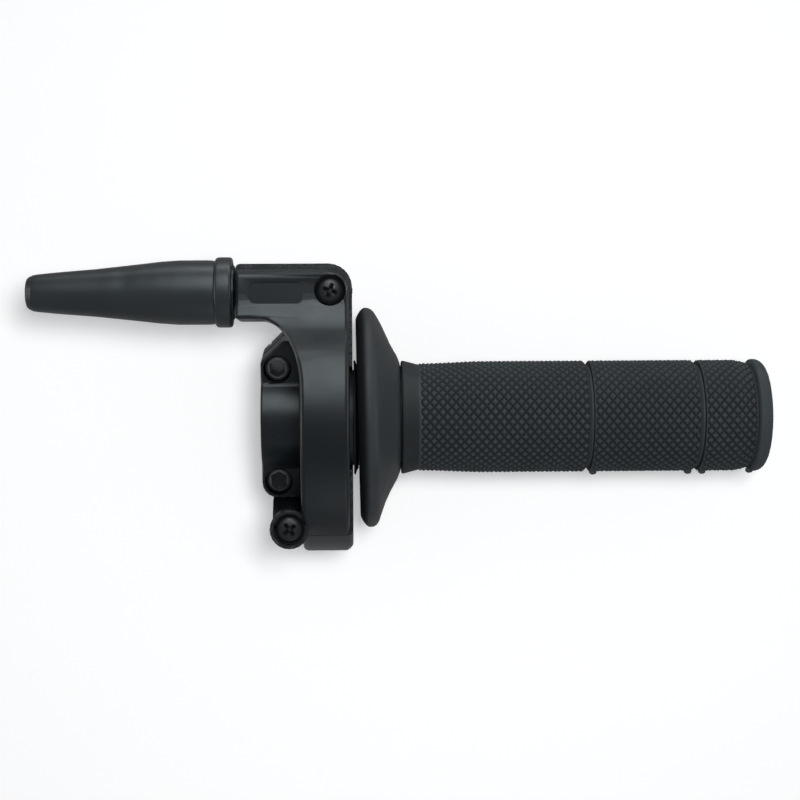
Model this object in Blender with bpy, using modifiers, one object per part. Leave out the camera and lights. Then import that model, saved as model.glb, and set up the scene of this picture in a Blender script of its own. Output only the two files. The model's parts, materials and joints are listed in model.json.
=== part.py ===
"""Motorcycle throttle grip: a twist grip, its cable drum and the clamp-on housing with the cable arm.

Metres, +Z up. The origin is the middle of the handlebar clamp, on the handlebar's axis.
+X runs outboard along the handlebar, +Y runs towards the cable arm, +Z faces the rider's eye.
"""

import math

import bmesh
import bpy
from mathutils import Matrix, Vector

mm = 0.001

# Fits
GAP = 0.3 * mm  # between pieces that touch
BAR_RADIUS = 11.1 * mm  # a 22.2 mm handlebar
BAR_CLEARANCE = 0.15 * mm

# Clamp, on a plane turned about the handlebar so that its screws face the rider
CLAMP_WIDTH = 11.6 * mm
CLAMP_WALL = 4.4 * mm
CLAMP_TILT = math.radians(12)
CLAMP_OPENING = 0.8 * mm  # between cap and base, taken up when the screws are tightened
CLAMP_SCREW_SPACING = 32.4 * mm
CLAMP_SCREW_SHIFT = -1.1 * mm  # of both screws along the bar
EAR_TOP = 10.4 * mm
EAR_SEAT = 3.6 * mm  # the screw heads lie in deep pockets
EAR_BACK = 9.6 * mm
EAR_LOWER_REACH = 4.8 * mm  # past the lower screw
EAR_UPPER_REACH = 8.0 * mm  # past the upper screw
EAR_LOWER_CORNER = 4.4 * mm
EAR_CHAMFER_ALONG = 6.2 * mm
EAR_CHAMFER_ACROSS = 6.0 * mm
CLAMP_EDGE = 0.7 * mm

# Housing of the cable drum
HOUSING_WIDTH = 14.1 * mm
HOUSING_RADIUS = 38.0 * mm
HOUSING_WALL = 2.3 * mm
HOUSING_EDGE = 1.3 * mm  # rounding of its outer edges
HOUSING_FOOT_CORNER = 3.0 * mm
COVER_RIM_TOP = 2.0 * mm  # the base's rim that shows past the cover
COVER_RIM_SIDE = 0.9 * mm

# Cable arm
ARM_PAST_HOUSING = 4.7 * mm  # its top edge, past the drum housing's radius
ARM_HEIGHT = 18.5 * mm
ARM_WIDTH = 15.6 * mm
ARM_DEPTH = 17.0 * mm
ARM_REACH = 18.0 * mm  # from the housing's inboard wall
ARM_CORNER = 6.5 * mm
ARM_BROW = 2.4 * mm  # rounding of the arm's upper front edge
ARM_FILLET = 20.0 * mm  # concave, from the arm's front down on to the drum housing
ELBOW_ALONG = 11.4 * mm  # concave, in the front view
ELBOW_ACROSS = 19.1 * mm
HOOD_UNDER_ARM = 2.3 * mm  # from the arm's middle to the elbow's underside, over the clamp
SPLIT_OVER_ARM = 1.5 * mm  # from the arm's middle to the joint of cover and base
PLATE_LENGTH = 14.3 * mm  # the plain recess on the arm
PLATE_WIDTH = 5.9 * mm
PLATE_DEPTH = 0.45 * mm
PLATE_CORNER = 1.4 * mm
PLATE_FROM_END = 11.4 * mm
PLATE_LOW = 0.7 * mm  # below the arm's middle line

# Cover screws and the threaded inserts they enter
COVER_SCREW_SHANK = 2.0 * mm
COVER_SCREW_HEAD = 3.85 * mm
COVER_SCREW_HEAD_HEIGHT = 2.5 * mm
COVER_SCREW_SINK = 0.5 * mm  # head below the cover's face
COVER_SCREW_LENGTH = 12.0 * mm
COUNTERBORE_CLEARANCE = 0.5 * mm
UPPER_SCREW_FROM_SIDE = 6.0 * mm  # from the housing's outboard face
LOWER_SCREW_OUT = 3.4 * mm  # inboard of the housing's inboard wall
LOWER_SCREW_FROM_FOOT = 7.7 * mm
LOWER_BOSS_RADIUS = 5.4 * mm
LOWER_BOSS_RISE = 4.2 * mm  # above the joint
LOWER_BOSS_DEPTH = 18.0 * mm  # below it
WEB_LEFT = 2.8 * mm  # inboard of the clamp's middle, the web that ties the lower boss to the clamp
WEB_TOP = 11.0 * mm
WEB_DEPTH = 6.7 * mm  # behind the clamp's middle plane
WEB_ROOT = 3.0 * mm  # into the base's lower ear
WEB_CLEARANCE = 0.6 * mm  # round the clamp cap's lower ear
SCREW_POST_RADIUS = 4.6 * mm
SCREW_POST_UNDER_SPLIT = 4.8 * mm
INSERT_RADIUS = 3.1 * mm
INSERT_LENGTH = 4.0 * mm

# Clamp screws, M5 with hexagon sockets, and their nuts
CLAMP_SCREW_SHANK = 2.5 * mm
CLAMP_SCREW_HEAD = 3.6 * mm
CLAMP_COUNTERBORE_CLEARANCE = 0.35 * mm
CLAMP_SCREW_HEAD_HEIGHT = 5.0 * mm
SOCKET_ACROSS_FLATS = 4.0 * mm
SOCKET_DEPTH = 2.6 * mm
NUT_ACROSS_FLATS = 8.0 * mm
NUT_HEIGHT = 3.6 * mm

# Throttle tube and its drum
TUBE_RADIUS = 13.0 * mm
NECK_RADIUS = 13.7 * mm
NECK_CLEARANCE = 0.6 * mm
NECK_TONGUE_LOW = 6.0 * mm  # the cover's tongue over the neck ends here
HUB_RADIUS = 16.0 * mm
WASHER_THICKNESS = 0.6 * mm
CHEEK_THICKNESS = 1.5 * mm
CHEEK_HEIGHT = 3.0 * mm  # above the cable groove's floor
GROOVE_WIDTH = 2.6 * mm
CAM_SLOW_RADIUS = 21.0 * mm  # groove floor where the cable lies when closed
CAM_FAST_RADIUS = 26.0 * mm  # groove floor at the fully open end
CAM_SLOW_FROM = math.radians(83)
CAM_FAST_END = math.radians(-20)
CAM_SLOW_END = math.radians(132)
NIPPLE_RADIUS = 2.6 * mm
NIPPLE_ANGLE = math.radians(116)
OPENING_ANGLE = math.radians(75)  # the throttle's travel
STOP_MARGIN = math.radians(1.5)
STOP_WIDTH = math.radians(6)

# Cable roller
ROLLER_FLANGE_RADIUS = 5.4 * mm
ROLLER_GROOVE_RADIUS = 4.0 * mm
ROLLER_THICKNESS = 4.4 * mm
ROLLER_PIN_RADIUS = 1.5 * mm
ROLLER_POST_RADIUS = 3.2 * mm
ROLLER_ROOM = 0.6 * mm  # all round it, in both shells
ROLLER_ROOM_WALL = 1.5 * mm
CABLE_RADIUS = 0.75 * mm

# Cable inlet, adjuster and boot, all on the arm's axis
INLET_NECK_RADIUS = 3.9 * mm
INLET_FLANGE_RADIUS = 4.9 * mm
INLET_FLANGE_THICKNESS = 1.4 * mm
SPIGOT_RADIUS = 7.4 * mm
SPIGOT_LENGTH = 5.3 * mm
ADJUSTER_THREAD_RADIUS = 2.9 * mm
ADJUSTER_HEAD_RADIUS = 4.6 * mm
ADJUSTER_HEAD_LENGTH = 9.0 * mm
ADJUSTER_BORE_RADIUS = 1.3 * mm
ADJUSTER_SOCKET_RADIUS = 3.0 * mm
ADJUSTER_SOCKET_DEPTH = 6.0 * mm
LOCK_NUT_ACROSS_FLATS = 10.0 * mm
LOCK_NUT_THICKNESS = 4.0 * mm
BOOT_LENGTH = 58.3 * mm
BOOT_WALL = 1.6 * mm
BOOT_TIP_RADIUS = 4.95 * mm
BOOT_TIP_BORE = 3.1 * mm
BOOT_BELLY_RADIUS = 8.85 * mm
BOOT_BELLY_AT = 11.3 * mm  # from the boot's open end
BOOT_LIP_RADIUS = 9.7 * mm
BOOT_LIP_WIDTH = 4.6 * mm
BOOT_FROM_ARM = 0.8 * mm

# Dust seal and mud flange
SEAL_RADIUS = 16.4 * mm
SEAL_WIDTH = 1.3 * mm
FLANGE_RADIUS = 32.0 * mm
FLANGE_FROM_HOUSING = 1.5 * mm
FLANGE_RIM_WIDTH = 4.3 * mm
FLANGE_BACK_RADIUS = 18.6 * mm
FLANGE_WIDTH = 12.2 * mm
FLANGE_SHEET = 2.2 * mm

# Rubber grip
GRIP_LENGTH = 104.9 * mm
GRIP_RADIUS = 16.2 * mm
GRIP_WAIST_RADIUS = 15.4 * mm  # where the pattern starts
GRIP_COLLAR_RADIUS = 16.4 * mm
GRIP_COLLAR_WIDTH = 5.4 * mm
GRIP_TAPER_LENGTH = 19.0 * mm
GRIP_GROOVE_DEPTH = 1.5 * mm
GRIP_FIRST_GROOVE = 53.1 * mm  # from the grip's inboard end
GRIP_FIRST_GROOVE_WIDTH = 1.8 * mm
GRIP_SECOND_GROOVE = 85.2 * mm
GRIP_SECOND_GROOVE_WIDTH = 1.9 * mm
GRIP_END_FLANGE_RADIUS = 16.5 * mm
GRIP_END_FLANGE_WIDTH = 3.9 * mm
GRIP_END_TAPER = 4.6 * mm  # down to the end flange's foot
GRIP_END_WALL = 3.0 * mm

# Places that follow from the sizes
CLAMP_BORE = BAR_RADIUS + BAR_CLEARANCE
CLAMP_RADIUS = CLAMP_BORE + CLAMP_WALL
HOUSING_LEFT = CLAMP_WIDTH / 2
HOUSING_RIGHT = HOUSING_LEFT + HOUSING_WIDTH
ARM_END = HOUSING_LEFT - ARM_REACH
ARM_TOP = HOUSING_RADIUS + ARM_PAST_HOUSING
ARM_OFFSET = ARM_TOP - ARM_WIDTH / 2
ARM_BOTTOM = ARM_OFFSET - ARM_WIDTH / 2
ARM_FRONT = ARM_HEIGHT + ARM_DEPTH / 2
ARM_BACK = ARM_HEIGHT - ARM_DEPTH / 2
SPLIT_HEIGHT = ARM_HEIGHT + SPLIT_OVER_ARM
HOOD_BACK = ARM_HEIGHT - HOOD_UNDER_ARM
LOWER_BOSS_TOP = SPLIT_HEIGHT + LOWER_BOSS_RISE
LOWER_BOSS_FOOT = SPLIT_HEIGHT - LOWER_BOSS_DEPTH
SCREW_POST_TOP = SPLIT_HEIGHT - SCREW_POST_UNDER_SPLIT
DRUM_LEFT = HOUSING_LEFT + HOUSING_WALL + WASHER_THICKNESS + 2 * GAP
DRUM_RIGHT = DRUM_LEFT + 2 * CHEEK_THICKNESS + GROOVE_WIDTH
GROOVE_MIDDLE = (DRUM_LEFT + DRUM_RIGHT) / 2
CABLE_BEND = ROLLER_GROOVE_RADIUS + CABLE_RADIUS
ROLLER_CENTRE = Vector((GROOVE_MIDDLE - CABLE_BEND, ARM_OFFSET - CABLE_BEND, ARM_HEIGHT))
UPPER_SCREW = Vector((HOUSING_RIGHT - UPPER_SCREW_FROM_SIDE, ARM_OFFSET, ARM_FRONT - COVER_SCREW_SINK))
LOWER_SCREW = Vector(
    (HOUSING_LEFT - LOWER_SCREW_OUT, LOWER_SCREW_FROM_FOOT - HOUSING_RADIUS, LOWER_BOSS_TOP)
)
COUNTERBORE_RADIUS = COVER_SCREW_HEAD + COUNTERBORE_CLEARANCE
SCREW_HOLE = COVER_SCREW_SHANK + GAP
FLANGE_LEFT = HOUSING_RIGHT + FLANGE_FROM_HOUSING
FLANGE_RIGHT = FLANGE_LEFT + FLANGE_WIDTH
GRIP_LEFT = FLANGE_RIGHT + GAP
GRIP_RIGHT = GRIP_LEFT + GRIP_LENGTH
FLANGE_SEAT = FLANGE_RIGHT - FLANGE_SHEET * 2.6
FAR = 60 * mm  # past every face of the housing
SHARP_ANGLE = math.radians(40)  # an edge that turns more than this gets rounded

to_bar = Matrix(((0, 0, 1, 0), (1, 0, 0, 0), (0, 1, 0, 0), (0, 0, 0, 1)))
clamp_plane = Matrix.Rotation(CLAMP_TILT, 4, "X")


# ---------------------------------------------------------------- modelling helpers


def clear_scene():
    for item in list(bpy.data.objects):
        bpy.data.objects.remove(item, do_unlink=True)


def settled(item, welded=True):
    """The item as a mesh, with its modifiers applied and, if asked, its doubles merged."""
    bpy.context.view_layer.update()
    graph = bpy.context.evaluated_depsgraph_get()
    mesh = bpy.data.meshes.new_from_object(item.evaluated_get(graph))
    if welded:
        edited(mesh, bmesh.ops.remove_doubles, dist=0.001 * mm)
    if item.type == "MESH":
        item.modifiers.clear()
        item.data = mesh
        return item
    name = item.name
    bpy.data.objects.remove(item)
    return new_item(name, mesh)


def edited(mesh, operator, **options):
    """Runs a mesh operator on the whole mesh."""
    shape = bmesh.new()
    shape.from_mesh(mesh)
    operator(shape, verts=shape.verts, **options)
    shape.to_mesh(mesh)
    shape.free()


def flattened(item):
    """Makes one face of each flat area, so that a bevel's width is even."""
    shape = bmesh.new()
    shape.from_mesh(item.data)
    bmesh.ops.remove_doubles(shape, verts=shape.verts, dist=0.001 * mm)
    bmesh.ops.dissolve_limit(
        shape, angle_limit=math.radians(0.5), verts=shape.verts, edges=shape.edges
    )
    shape.to_mesh(item.data)
    shape.free()


def cleaned(item):
    """Merges the near-doubles that many cuts leave, and drops their slivers."""
    shape = bmesh.new()
    shape.from_mesh(item.data)
    bmesh.ops.remove_doubles(shape, verts=shape.verts, dist=0.01 * mm)
    bmesh.ops.dissolve_degenerate(shape, edges=shape.edges, dist=0.01 * mm)
    shape.to_mesh(item.data)
    shape.free()
    return item


def new_item(name, data):
    item = bpy.data.objects.new(name, data)
    bpy.context.scene.collection.objects.link(item)
    return item


def moved(item, matrix):
    item.data.transform(matrix)
    return item


def combined(item, other, operation):
    step = item.modifiers.new(other.name, "BOOLEAN")
    step.operation = operation
    step.solver = "MANIFOLD"  # the exact solver leaves open edges where the shells' many cuts meet
    step.object = other
    settled(item, welded=False)
    bpy.data.objects.remove(other)
    return item


def joined(item, *others):
    for other in others:
        combined(item, other, "UNION")
    return item


def cut(item, *others):
    for other in others:
        combined(item, other, "DIFFERENCE")
    return item


def common(item, other):
    return combined(item, other, "INTERSECT")


def bevelled(item, width, segments=2, stays_sharp=None):
    """Rounds the sharp edges, apart from those whose middle stays_sharp picks."""
    flattened(item)
    shape = bmesh.new()
    shape.from_mesh(item.data)
    weight = shape.edges.layers.float.new("bevel_weight_edge")
    for edge in shape.edges:
        middle = (edge.verts[0].co + edge.verts[1].co) / 2
        picked = stays_sharp is not None and stays_sharp(middle)
        if edge.calc_face_angle(0) > SHARP_ANGLE and not picked:
            edge[weight] = 1
    shape.to_mesh(item.data)
    shape.free()
    step = item.modifiers.new("edges", "BEVEL")
    step.width = width
    step.segments = segments
    step.limit_method = "WEIGHT"
    step.use_clamp_overlap = False
    return settled(item)


def arc(centre, radii, start, end, steps):
    """Points of a circle or an ellipse about a centre, from one angle to another."""
    points = []
    for step in range(steps + 1):
        angle = start + (end - start) * step / steps
        points.append((centre[0] + radii[0] * math.cos(angle), centre[1] + radii[1] * math.sin(angle)))
    return points


def rounded(corners, steps=5):
    """Points of an outline whose corners, each (x, y, radius), are rounded where the radius isn't 0."""
    points = []
    for index, (x, y, radius) in enumerate(corners):
        here = Vector((x, y))
        before = (Vector(corners[index - 1][:2]) - here).normalized()
        after = (Vector(corners[(index + 1) % len(corners)][:2]) - here).normalized()
        if radius == 0:
            points.append((x, y))
            continue
        half = before.angle(after) / 2
        middle = here + (before + after).normalized() * radius / math.sin(half)
        first = here + before * radius / math.tan(half) - middle
        last = here + after * radius / math.tan(half) - middle
        start = math.atan2(first.y, first.x)
        sweep = math.atan2(last.y, last.x) - start
        sweep = (sweep + math.pi) % math.tau - math.pi
        points += arc(middle, (radius, radius), start, start + sweep, steps)
    return points


def prism(name, points, low, high, along="Z"):
    """A solid with this outline. It is (x, y) along Z, and (y, z) along X, the handlebar's axis."""
    curve = bpy.data.curves.new(name, "CURVE")
    curve.dimensions = "2D"
    curve.fill_mode = "BOTH"
    curve.extrude = (high - low) / 2
    spline = curve.splines.new("POLY")
    spline.points.add(len(points) - 1)
    for point, (x, y) in zip(spline.points, points):
        point.co = (x, y, 0, 1)
    spline.use_cyclic_u = True
    solid = settled(new_item(name, curve))
    moved(solid, Matrix.Translation((0, 0, (low + high) / 2)))
    return moved(solid, to_bar) if along == "X" else solid


def box(name, low, high):
    size = Vector(high) - Vector(low)
    shape = bmesh.new()
    bmesh.ops.create_cube(shape, size=1)
    mesh = bpy.data.meshes.new(name)
    shape.to_mesh(mesh)
    shape.free()
    middle = (Vector(high) + Vector(low)) / 2
    return moved(new_item(name, mesh), Matrix.LocRotScale(middle, None, size))


def turned(name, profile, steps=40, along="X", centre=(0, 0, 0)):
    """A solid turned from (place along the axis, radius) points."""
    outline = [Vector((radius, 0, place)) for place, radius in profile]
    area = sum(a.x * b.z - b.x * a.z for a, b in zip(outline, outline[1:] + outline[:1]))
    if area > 0:
        outline.reverse()
    edges = [(i, i + 1) for i in range(len(outline) - 1)]
    if min(point.x for point in outline) > 0:
        edges.append((len(outline) - 1, 0))
    mesh = bpy.data.meshes.new(name)
    mesh.from_pydata(outline, edges, [])
    item = new_item(name, mesh)
    screw = item.modifiers.new("turn", "SCREW")
    screw.steps = steps
    screw.render_steps = steps
    screw.use_merge_vertices = True
    screw.merge_threshold = 0.001 * mm
    settled(item)
    if along == "X":
        moved(item, Matrix.Rotation(math.pi / 2, 4, "Y"))
    return moved(item, Matrix.Translation(centre))


def rod(name, radius, low, high, along="Z", centre=(0, 0, 0), steps=24):
    profile = [(low, 0), (low, radius), (high, radius), (high, 0)]
    return turned(name, profile, steps, along, centre)


def hexagon(across_flats):
    radius = across_flats / math.sqrt(3)
    return arc((0, 0), (radius, radius), 0, math.tau * 5 / 6, 5)


# ---------------------------------------------------------------- housing


def front_outline(inset, top, right):
    """The arm, its elbow and the drum housing, as the rider sees them."""
    left = HOUSING_LEFT + inset
    foot = inset - HOUSING_RADIUS
    elbow = (HOUSING_LEFT - ELBOW_ALONG, ARM_BOTTOM - ELBOW_ACROSS)
    radii = (ELBOW_ALONG + inset, ELBOW_ACROSS + inset)
    corners = [
        (ARM_END + inset, ARM_BOTTOM + inset, 0),
        (ARM_END + inset, top, 0),
        (right, top, ARM_CORNER - inset),
        (right, foot, HOUSING_FOOT_CORNER - inset),
        (left, foot, 0),
    ]
    return rounded(corners, 6) + arc(elbow, radii, 0, math.pi / 2, 12)


def side_outline(inset, top):
    """The round drum housing and the arm's front, seen along the handlebar."""
    radius = HOUSING_RADIUS - inset
    back = ARM_BACK + inset
    front = ARM_FRONT - inset
    blend_height = ARM_FRONT + ARM_FILLET
    blend_across = math.sqrt((HOUSING_RADIUS + ARM_FILLET) ** 2 - blend_height**2)
    touch = math.atan2(blend_height, blend_across)
    blend = (ARM_FILLET + inset, ARM_FILLET + inset)
    points = arc((blend_across, blend_height), blend, math.pi * 1.5, touch + math.pi, 7)
    points += arc((0, 0), (radius, radius), touch, math.tau + math.asin(back / radius), 48)[1:]
    points += [(top, back)]
    brow = (top - ARM_BROW, front - ARM_BROW)
    return points + arc(brow, (ARM_BROW, ARM_BROW), 0, math.pi / 2, 4)


def housing_form(name, inset, top, right):
    """Housing and arm as one block, all its faces moved inwards by the inset."""
    left = HOUSING_LEFT + inset
    form = prism(name, front_outline(inset, top, right), -FAR, FAR)
    common(form, prism("side", side_outline(inset, top), -FAR, FAR, "X"))
    below_arm = box("below_arm", (-FAR, -FAR, -FAR), (left, FAR, ARM_BACK + inset))
    hood_high = HOOD_BACK + inset
    below_hood = box("below_hood", (-FAR, -FAR, -FAR), (left, ARM_BOTTOM + inset, hood_high))
    return cut(form, below_arm, below_hood)


def under_hood(point):
    """The edges of the elbow's underside, where the hood runs out to nothing."""
    return point.x < HOUSING_LEFT + mm and abs(point.z - HOOD_BACK) < 0.1 * mm


def clamp_half(name, side, right):
    """Half of the clamp with its two ears, in the clamp's own plane. Side 1 is the cap, -1 the base."""
    low = -CLAMP_SCREW_SPACING / 2 - EAR_LOWER_REACH
    high = CLAMP_SCREW_SPACING / 2 + EAR_UPPER_REACH
    start = CLAMP_OPENING / 2
    ear = EAR_TOP if side == 1 else EAR_BACK
    mouth = math.asin(start / CLAMP_BORE)
    shoulder = math.asin(ear / CLAMP_RADIUS)
    section = arc((0, 0), (CLAMP_BORE, CLAMP_BORE), mouth, math.pi - mouth, 24)
    section += [(low, start), (low, ear)]
    section += arc((0, 0), (CLAMP_RADIUS, CLAMP_RADIUS), math.pi - shoulder, shoulder, 12)
    section += [(high, ear), (high, start)]
    half = prism(name, [(across, side * rise) for across, rise in section], -FAR, FAR, "X")
    left = -CLAMP_WIDTH / 2
    plan = rounded(
        [
            (left, low, EAR_LOWER_CORNER),
            (right, low, 0),
            (right, high, 0),
            (left + EAR_CHAMFER_ALONG, high, 1.5 * mm),
            (left, high - EAR_CHAMFER_ACROSS, 1.5 * mm),
        ]
    )
    common(half, prism("plan", plan, -FAR, FAR))
    return half


def clamp_screw_places():
    for across in (CLAMP_SCREW_SPACING / 2, -CLAMP_SCREW_SPACING / 2):
        yield (CLAMP_SCREW_SHIFT, across, 0)


def boss_web():
    """The web that ties the lower boss to the clamp's base, clear of the cap's lower ear."""
    end = -CLAMP_SCREW_SPACING / 2 - EAR_LOWER_REACH
    root = end + WEB_ROOT
    beside = end - WEB_CLEARANCE
    points = []
    for across, rise in ((root, -WEB_DEPTH), (root, -CLAMP_OPENING), (beside, -CLAMP_OPENING), (beside, EAR_TOP)):
        corner = clamp_plane @ Vector((0, across, rise))
        points.append((corner.y, corner.z))
    points += [(LOWER_SCREW.y, WEB_TOP), (LOWER_SCREW.y, LOWER_BOSS_FOOT)]
    return prism("boss_web", points, -WEB_LEFT, HOUSING_LEFT + HOUSING_WALL / 2, "X")


def stop_rib(start):
    """A radial rib that the drum's sector meets at an end of its travel."""
    inner = HUB_RADIUS + 2 * mm
    outer = HOUSING_RADIUS - HOUSING_WALL / 2
    points = arc((0, 0), (inner, inner), start, start + STOP_WIDTH, 2)
    points += arc((0, 0), (outer, outer), start + STOP_WIDTH, start, 2)
    return prism("stop_rib", points, HOUSING_LEFT + HOUSING_WALL / 2, DRUM_RIGHT, "X")


def inlet_room():
    """What the cable inlet's neck and inner flange need in the arm's end."""
    centre = (0, ARM_OFFSET, ARM_HEIGHT)
    wall = ARM_END + HOUSING_WALL
    neck = rod("neck", INLET_NECK_RADIUS + GAP, ARM_END - mm, wall + mm, "X", centre)
    flange = INLET_FLANGE_THICKNESS + 2 * GAP
    return joined(neck, rod("trap", INLET_FLANGE_RADIUS + GAP, wall, wall + flange, "X", centre))


def roller_room(wall, top):
    """The round room that the roller turns in, widened by a wall for the block that it is cut from."""
    x, y, z = ROLLER_CENTRE
    low = z - ROLLER_THICKNESS / 2 - ROLLER_ROOM - wall
    return rod("roller_room", ROLLER_FLANGE_RADIUS + ROLLER_ROOM + wall, low, top, centre=(x, y, 0))


def housing_base():
    split = SPLIT_HEIGHT - GAP / 2
    base = housing_form("housing_base", 0, ARM_TOP, HOUSING_RIGHT)
    bevelled(base, HOUSING_EDGE, 3, under_hood)
    cut(base, box("front", (-FAR, -FAR, split), (FAR, FAR, 2 * FAR)))
    x, y, _ = LOWER_SCREW
    joined(base, rod("lower_boss", LOWER_BOSS_RADIUS, LOWER_BOSS_FOOT, split, centre=(x, y, 0)))
    half = clamp_half("clamp_base", -1, HOUSING_LEFT + HOUSING_WALL / 2)
    joined(base, moved(half, clamp_plane), boss_web())
    block = roller_room(ROLLER_ROOM_WALL, split)
    inner_face = HOUSING_LEFT + HOUSING_WALL
    joined(base, cut(block, box("drum_side", (inner_face, -FAR, -FAR), (FAR, FAR, FAR))))
    room = housing_form("room", HOUSING_WALL, ARM_TOP - HOUSING_WALL, HOUSING_RIGHT - HOUSING_WALL)
    cut(base, room, roller_room(0, FAR))
    joined(base, stop_rib(CAM_SLOW_END + OPENING_ANGLE + STOP_MARGIN))
    joined(base, stop_rib(CAM_FAST_END - STOP_MARGIN - STOP_WIDTH))
    floor = ARM_BACK + HOUSING_WALL / 2
    x, y, z = ROLLER_CENTRE
    post_top = z - ROLLER_THICKNESS / 2 - GAP
    joined(base, rod("roller_post", ROLLER_POST_RADIUS, floor, post_top, centre=(x, y, 0)))
    cut(base, rod("pin_hole", ROLLER_PIN_RADIUS + GAP, ARM_BACK + HOUSING_WALL, FAR, centre=(x, y, 0)))
    x, y, _ = UPPER_SCREW
    joined(base, rod("screw_post", SCREW_POST_RADIUS, floor, SCREW_POST_TOP, centre=(x, y, 0)))
    for x, y, top in (UPPER_SCREW, LOWER_SCREW):
        tip = top - COVER_SCREW_HEAD_HEIGHT - COVER_SCREW_LENGTH - GAP
        cut(base, rod("screw_hole", SCREW_HOLE, tip, FAR, centre=(x, y, 0)))
    for place in insert_places():
        x, y, z = place
        cut(base, rod("insert_hole", INSERT_RADIUS + GAP, z - GAP, FAR, centre=(x, y, 0)))
    for place in clamp_screw_places():
        hole = rod("clamp_hole", CLAMP_SCREW_SHANK + GAP, -FAR, 0, centre=place)
        cut(base, moved(hole, clamp_plane))
        pocket = prism("nut_pocket", hexagon(NUT_ACROSS_FLATS + 2 * GAP), -FAR, NUT_HEIGHT + GAP - EAR_BACK)
        moved(pocket, Matrix.Translation(place))
        cut(base, moved(pocket, clamp_plane))
    cut(base, rod("bar_hole", CLAMP_BORE, -FAR, DRUM_LEFT, "X", steps=48))
    opening = NECK_RADIUS + NECK_CLEARANCE
    wall = HOUSING_RIGHT - HOUSING_WALL - mm
    cut(base, rod("neck_hole", opening, wall, FAR, "X", steps=48))
    cut(base, box("neck_slot", (wall, -opening, 0), (FAR, opening, FAR)))
    cut(base, inlet_room())
    return cleaned(base)


def insert_places():
    """The foot of each threaded insert: one in the arm's post, one in the lower boss."""
    upper = Vector((UPPER_SCREW.x, UPPER_SCREW.y, SCREW_POST_TOP - INSERT_LENGTH))
    lower_top = SPLIT_HEIGHT - GAP / 2 - GAP
    lower = Vector((LOWER_SCREW.x, LOWER_SCREW.y, lower_top - INSERT_LENGTH))
    return upper, lower


def housing_cover():
    split = SPLIT_HEIGHT + GAP / 2
    top = ARM_TOP - COVER_RIM_TOP
    right = HOUSING_RIGHT - COVER_RIM_SIDE
    cover = housing_form("housing_cover", 0, top, right)
    bevelled(cover, HOUSING_EDGE, 3, under_hood)
    cut(cover, box("rear", (-FAR, -FAR, -2 * FAR), (FAR, FAR, split)))
    x, y, _ = LOWER_SCREW
    joined(cover, rod("lower_boss", LOWER_BOSS_RADIUS, split, LOWER_BOSS_TOP, centre=(x, y, 0)))
    cut(cover, housing_form("room", HOUSING_WALL, top - HOUSING_WALL, HOUSING_RIGHT - HOUSING_WALL))
    room_top = ARM_HEIGHT + ROLLER_THICKNESS / 2 + ROLLER_ROOM
    cut(cover, roller_room(0, room_top))
    opening = NECK_RADIUS + NECK_CLEARANCE
    low = (HOUSING_RIGHT - HOUSING_WALL, GAP - opening, NECK_TONGUE_LOW)
    tongue = box("tongue", low, (right, opening - GAP, split + mm))
    cut(tongue, rod("neck_hole", opening, 0, FAR, "X", steps=48))
    joined(cover, tongue)
    x, y, z = ROLLER_CENTRE
    post_low = z + ROLLER_THICKNESS / 2 + GAP
    joined(cover, rod("roller_post", ROLLER_POST_RADIUS, post_low, ARM_FRONT - mm, centre=(x, y, 0)))
    pin_top = ARM_FRONT - HOUSING_WALL
    cut(cover, rod("pin_hole", ROLLER_PIN_RADIUS + GAP, 0, pin_top, centre=(x, y, 0)))
    x, y, _ = UPPER_SCREW
    seat_low = room_top + GAP
    joined(cover, rod("screw_seat", SCREW_POST_RADIUS, seat_low, ARM_FRONT - mm, centre=(x, y, 0)))
    for x, y, top in (UPPER_SCREW, LOWER_SCREW):
        seat = top - COVER_SCREW_HEAD_HEIGHT - GAP
        cut(cover, rod("screw_hole", SCREW_HOLE, 0, FAR, centre=(x, y, 0)))
        cut(cover, rod("counterbore", COUNTERBORE_RADIUS, seat, FAR, centre=(x, y, 0)))
    cut(cover, inlet_room(), plate_recess())
    return cleaned(cover)


def plate_recess():
    left = ARM_END + PLATE_FROM_END - PLATE_LENGTH / 2
    right = left + PLATE_LENGTH
    low = ARM_OFFSET - PLATE_LOW - PLATE_WIDTH / 2
    high = low + PLATE_WIDTH
    corners = [(x, y, PLATE_CORNER) for x, y in ((left, low), (right, low), (right, high), (left, high))]
    return prism("plate_recess", rounded(corners), ARM_FRONT - PLATE_DEPTH, FAR)


def clamp_cap():
    cap = clamp_half("clamp_cap", 1, HOUSING_LEFT - GAP)
    bevelled(cap, CLAMP_EDGE)
    for place in clamp_screw_places():
        cut(cap, rod("clamp_hole", CLAMP_SCREW_SHANK + GAP, 0, FAR, centre=place))
        radius = CLAMP_SCREW_HEAD + CLAMP_COUNTERBORE_CLEARANCE
        cut(cap, rod("counterbore", radius, EAR_SEAT, FAR, centre=place))
    return moved(cap, clamp_plane)


# ---------------------------------------------------------------- fasteners


def clamp_screw(name, place):
    seat = EAR_SEAT + GAP
    top = seat + CLAMP_SCREW_HEAD_HEIGHT
    edge = 0.4 * mm
    tip = -EAR_BACK + GAP
    profile = [
        (tip, 0),
        (tip, CLAMP_SCREW_SHANK),
        (seat, CLAMP_SCREW_SHANK),
        (seat, CLAMP_SCREW_HEAD),
        (top - edge, CLAMP_SCREW_HEAD),
        (top, CLAMP_SCREW_HEAD - edge),
        (top, 0),
    ]
    screw = turned(name, profile, 24, "Z")
    cut(screw, prism("socket", hexagon(SOCKET_ACROSS_FLATS), top - SOCKET_DEPTH, top + mm))
    moved(screw, Matrix.Translation(place))
    return moved(screw, clamp_plane)


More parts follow.
